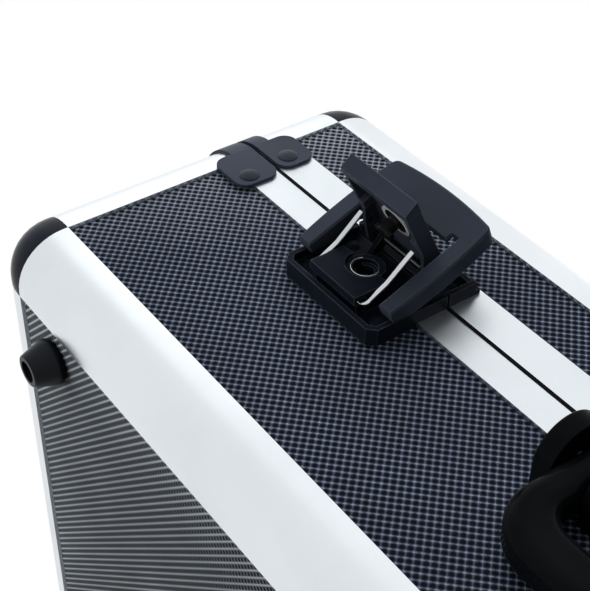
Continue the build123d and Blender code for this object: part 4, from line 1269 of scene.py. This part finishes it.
@dataclass
class FoamLining(SubAssembly):
    """Foam on the floor, round the walls and in the lid.

    Attributes:
        edge_round: the radius of the floor's and the walls' edges.
        edge_steps: how many faces round an edge.
        edge_smooth: the angle up to which they are shaded smooth, in degrees.
        wall_thickness: the thickness of the foam round the walls.
        crate_pitch: about how far the lid's points are apart.
        crate_depth: how far they stand out.
        crate_cells: how many faces there are from point to point.
        crate_smooth: the angle up to which the lid's foam is shaded smooth.
    """

    edge_round: float = 4.0 * MM
    edge_steps: int = 4
    edge_smooth: float = 40.0
    wall_thickness: float = 18.0 * MM
    crate_pitch: float = 32.0 * MM
    crate_depth: float = 11.0 * MM
    crate_cells: int = 8
    crate_smooth: float = 50.0

    def build(self) -> None:
        """Builds the three pieces of foam in the places of their solids."""
        self.lay(self.slab(), "floor_foam_soft", "base", "base_floor_foam")
        self.lay(self.wall(), "wall_foam_soft", "base", "base_wall_foam")
        self.lay(self.egg_crate(), "lid_foam_crate", "lid", "lid_foam_pad")

    def lay(self, obj: Piece, name: str, body: str, node: str) -> None:
        """Finishes a piece of foam and puts it in the place of its solid.

        Args:
            obj: the foam.
            name: its name.
            body: the body that carries it.
            node: the solid that it replaces.
        """
        self.own(obj, name, body, self.finishes.foam, "grey_foam")
        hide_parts(node)

    def soften(self, obj: Piece) -> None:
        """Rounds a piece's edges with an applied bevel."""
        soft = obj.modifiers.new("soft_edge", "BEVEL")
        soft.width = self.edge_round
        soft.segments = self.edge_steps
        soft.limit_method = "ANGLE"
        activate(obj)
        bpy.ops.object.modifier_apply(modifier=soft.name)
        smooth(obj, self.edge_smooth)

    def slab(self) -> Piece:
        """The floor's foam, a slab with rounded edges.

        Returns:
            The foam.
        """
        obj = block(*self.box("base_floor_foam"))
        self.soften(obj)
        return obj

    def wall(self) -> Piece:
        """A ring of foam round the inside of the base, with rounded edges.

        Returns:
            The foam.
        """
        obj = block(*self.box("base_wall_foam"))
        pick(obj, MeshPart.FACE, lambda centre, way: abs(way.z) > abs(way.x) + abs(way.y))
        bpy.ops.mesh.inset(thickness=self.wall_thickness)
        bpy.ops.mesh.bridge_edge_loops()
        close_mesh()
        self.soften(obj)
        return obj

    def egg_crate(self) -> Piece:
        """The lid's foam, its lower face in rows of soft points.

        Returns:
            The foam.
        """
        low, high = self.box("lid_foam_pad")
        size = high - low
        across = round(size.x / self.crate_pitch)
        deep = round(size.y / self.crate_pitch)
        obj = begin(
            bpy.ops.mesh.primitive_grid_add,
            (size.x, size.y, 1),
            x_subdivisions=across * self.crate_cells,
            y_subdivisions=deep * self.crate_cells,
            size=1,
            location=((low.x + high.x) / 2, (low.y + high.y) / 2, low.z),
        )
        for corner in obj.data.vertices:
            wave_x = math.sin(math.pi * across * (corner.co.x - low.x) / size.x)
            wave_y = math.sin(math.pi * deep * (corner.co.y - low.y) / size.y)
            corner.co.z = low.z + self.crate_depth * (1 - (wave_x * wave_y) ** 2)
        open_mesh(obj, MeshPart.EDGE)
        bpy.ops.mesh.select_all(action="DESELECT")
        bpy.ops.mesh.select_non_manifold()
        rise = (0, 0, size.z - self.crate_depth)
        bpy.ops.mesh.extrude_edges_move(TRANSFORM_OT_translate={"value": rise})
        bpy.ops.mesh.edge_face_add()
        close_mesh()
        smooth(obj, self.crate_smooth)
        return obj


@dataclass(frozen=True)
class Lamp:
    """A square area lamp.

    Attributes:
        name: its name.
        place: where it stands, in metres.
        size: the length of a side.
        power: its power in watts.
        mirrored: whether glossy surfaces show it.
    """

    name: str
    place: Triple
    size: float
    power: float
    mirrored: bool = True

    def build(self, aim: Triple) -> None:
        """Adds the lamp to the scene.

        Args:
            aim: the point that it faces.
        """
        data = bpy.data.lights.new(self.name, "AREA")
        data.shape = "SQUARE"
        data.size = self.size
        data.energy = self.power
        lamp = bpy.data.objects.new(self.name, data)
        lamp.location = self.place
        lamp.visible_glossy = self.mirrored
        lamp.rotation_mode = "QUATERNION"
        lamp.rotation_quaternion = (Vector(aim) - Vector(self.place)).to_track_quat("-Z", "Y")
        bpy.context.scene.collection.objects.link(lamp)


@dataclass
class Studio:
    """Camera, lamps, world and floor.

    Attributes:
        lens: the camera's focal length, in millimetres.
        film: the width of its film, in millimetres.
        clip: the nearest and the farthest distance that it sees, in metres.
        place: where it stands, in metres.
        turn: its turns about X, Y and Z, in degrees.
        aim: the point that the lamps face.
        lamps: the lamps.
        world_light: how strongly the white world lights the case, where 1 is how strongly it shows.
        floor_size: the length of the floor's side.
        floor_grey: the floor's base colour.
        floor_rough: its roughness.
        floor_glow: how much light it adds to what the camera sees.
        floor_mirrored: how bright it is in glossy surfaces.
    """

    lens: float = 82.4
    film: float = 36.0
    clip: tuple[float, float] = (0.01, 20.0)
    place: Triple = (0.069, -0.5188, -0.1385)
    turn: Triple = (141.111, -54.128, -1.568)
    aim: Triple = (-0.1, -0.05, 0.1)
    lamps: Sequence[Lamp] = (
        Lamp("key_box", (-0.7, -0.8, 0.45), 0.9, 14.0, mirrored=False),
        Lamp("low_key", (-0.6, -0.6, -1.3), 1.4, 18.0, mirrored=False),
        Lamp("front_box", (0.6, -1.6, 0.7), 2.0, 2.3),
        Lamp("left_box", (-1.6, -0.9, 0.4), 1.2, 1.6),
        Lamp("low_box", (-0.2, -0.9, -1.2), 1.2, 1.6),
        Lamp("top_box", (0.2, 0.1, 1.9), 2.4, 5.0),
        Lamp("rear_box", (0.3, 1.7, 0.9), 1.6, 14.0, mirrored=False),
    )
    world_light: float = 0.12
    floor_size: float = 8.0
    floor_grey: float = 0.5
    floor_rough: float = 0.9
    floor_glow: float = 0.55
    floor_mirrored: float = 0.9

    def build(self) -> None:
        """Builds everything round the case."""
        self.camera()
        self.world()
        for lamp in self.lamps:
            lamp.build(self.aim)
        self.floor()

    def camera(self) -> None:
        """The camera, at the photograph's place."""
        data = bpy.data.cameras.new("photo_camera")
        data.lens = self.lens
        data.sensor_width = self.film
        data.clip_start, data.clip_end = self.clip
        camera = bpy.data.objects.new("photo_camera", data)
        camera.location = self.place
        camera.rotation_euler = [math.radians(angle) for angle in self.turn]
        bpy.context.scene.collection.objects.link(camera)
        bpy.context.scene.camera = camera

    def world(self) -> None:
        """A world that shows white, also in gloss and through glass, and lights only softly."""
        scene = bpy.context.scene
        scene.view_settings.view_transform = "Standard"
        scene.world = bpy.data.worlds.new("soft_white")
        scene.world.use_nodes = True
        tree = scene.world.node_tree
        background = tree.nodes["Background"]
        background.inputs["Color"].default_value = grey(1.0)
        sheet = Sheet(tree)
        path = sheet.add("ShaderNodeLightPath").outputs
        clear = sheet.math("MAXIMUM", path["Is Camera Ray"], path["Is Transmission Ray"])
        shown = sheet.math("MAXIMUM", clear, path["Is Glossy Ray"])
        sheet.put(sheet.span(shown, 0.0, 1.0, self.world_light, 1.0), background.inputs["Strength"])

    def floor(self) -> None:
        """A pale floor that takes the case's shadow, casts none itself and can't be seen from below."""
        floor = begin(bpy.ops.mesh.primitive_plane_add, size=self.floor_size)
        floor.name = "studio_floor"
        floor.visible_shadow = False
        material, sheet, shader = new_material("pale_floor")
        shader.inputs["Base Color"].default_value = grey(self.floor_grey)
        shader.inputs["Roughness"].default_value = self.floor_rough
        shader.inputs["Specular IOR Level"].default_value = 0.0
        shader.inputs["Emission Color"].default_value = grey(1.0)
        path = sheet.add("ShaderNodeLightPath").outputs
        glow = sheet.math("MULTIPLY", path["Is Camera Ray"], self.floor_glow)
        sheet.put(glow, shader.inputs["Emission Strength"])
        mirrored = sheet.feed(sheet.add("ShaderNodeEmission"), grey(self.floor_mirrored))
        above = sheet.mix(path["Is Glossy Ray"], shader.outputs[0], mirrored.outputs[0])
        below = sheet.add("ShaderNodeBsdfTransparent").outputs[0]
        both = sheet.mix(sheet.add("ShaderNodeNewGeometry").outputs["Backfacing"], above, below)
        sheet.put(both, material.node_tree.nodes["Material Output"].inputs["Surface"])
        floor.data.materials.append(material)


def main() -> None:
    """Loads the frame and builds every sub-assembly in order."""
    logging.basicConfig(level=logging.INFO, format="%(message)s")
    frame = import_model()
    wardrobe = Wardrobe()
    finishes = FinishSet()
    Studio().build()
    for kind in (CaseShell, Feet, Hinges, Handle, Latches):
        kind(frame, wardrobe, finishes).dress()
    for kind in (CaseShell, Latches, FoamLining):
        kind(frame, wardrobe, finishes).build()


if __name__ == "__main__":
    main()
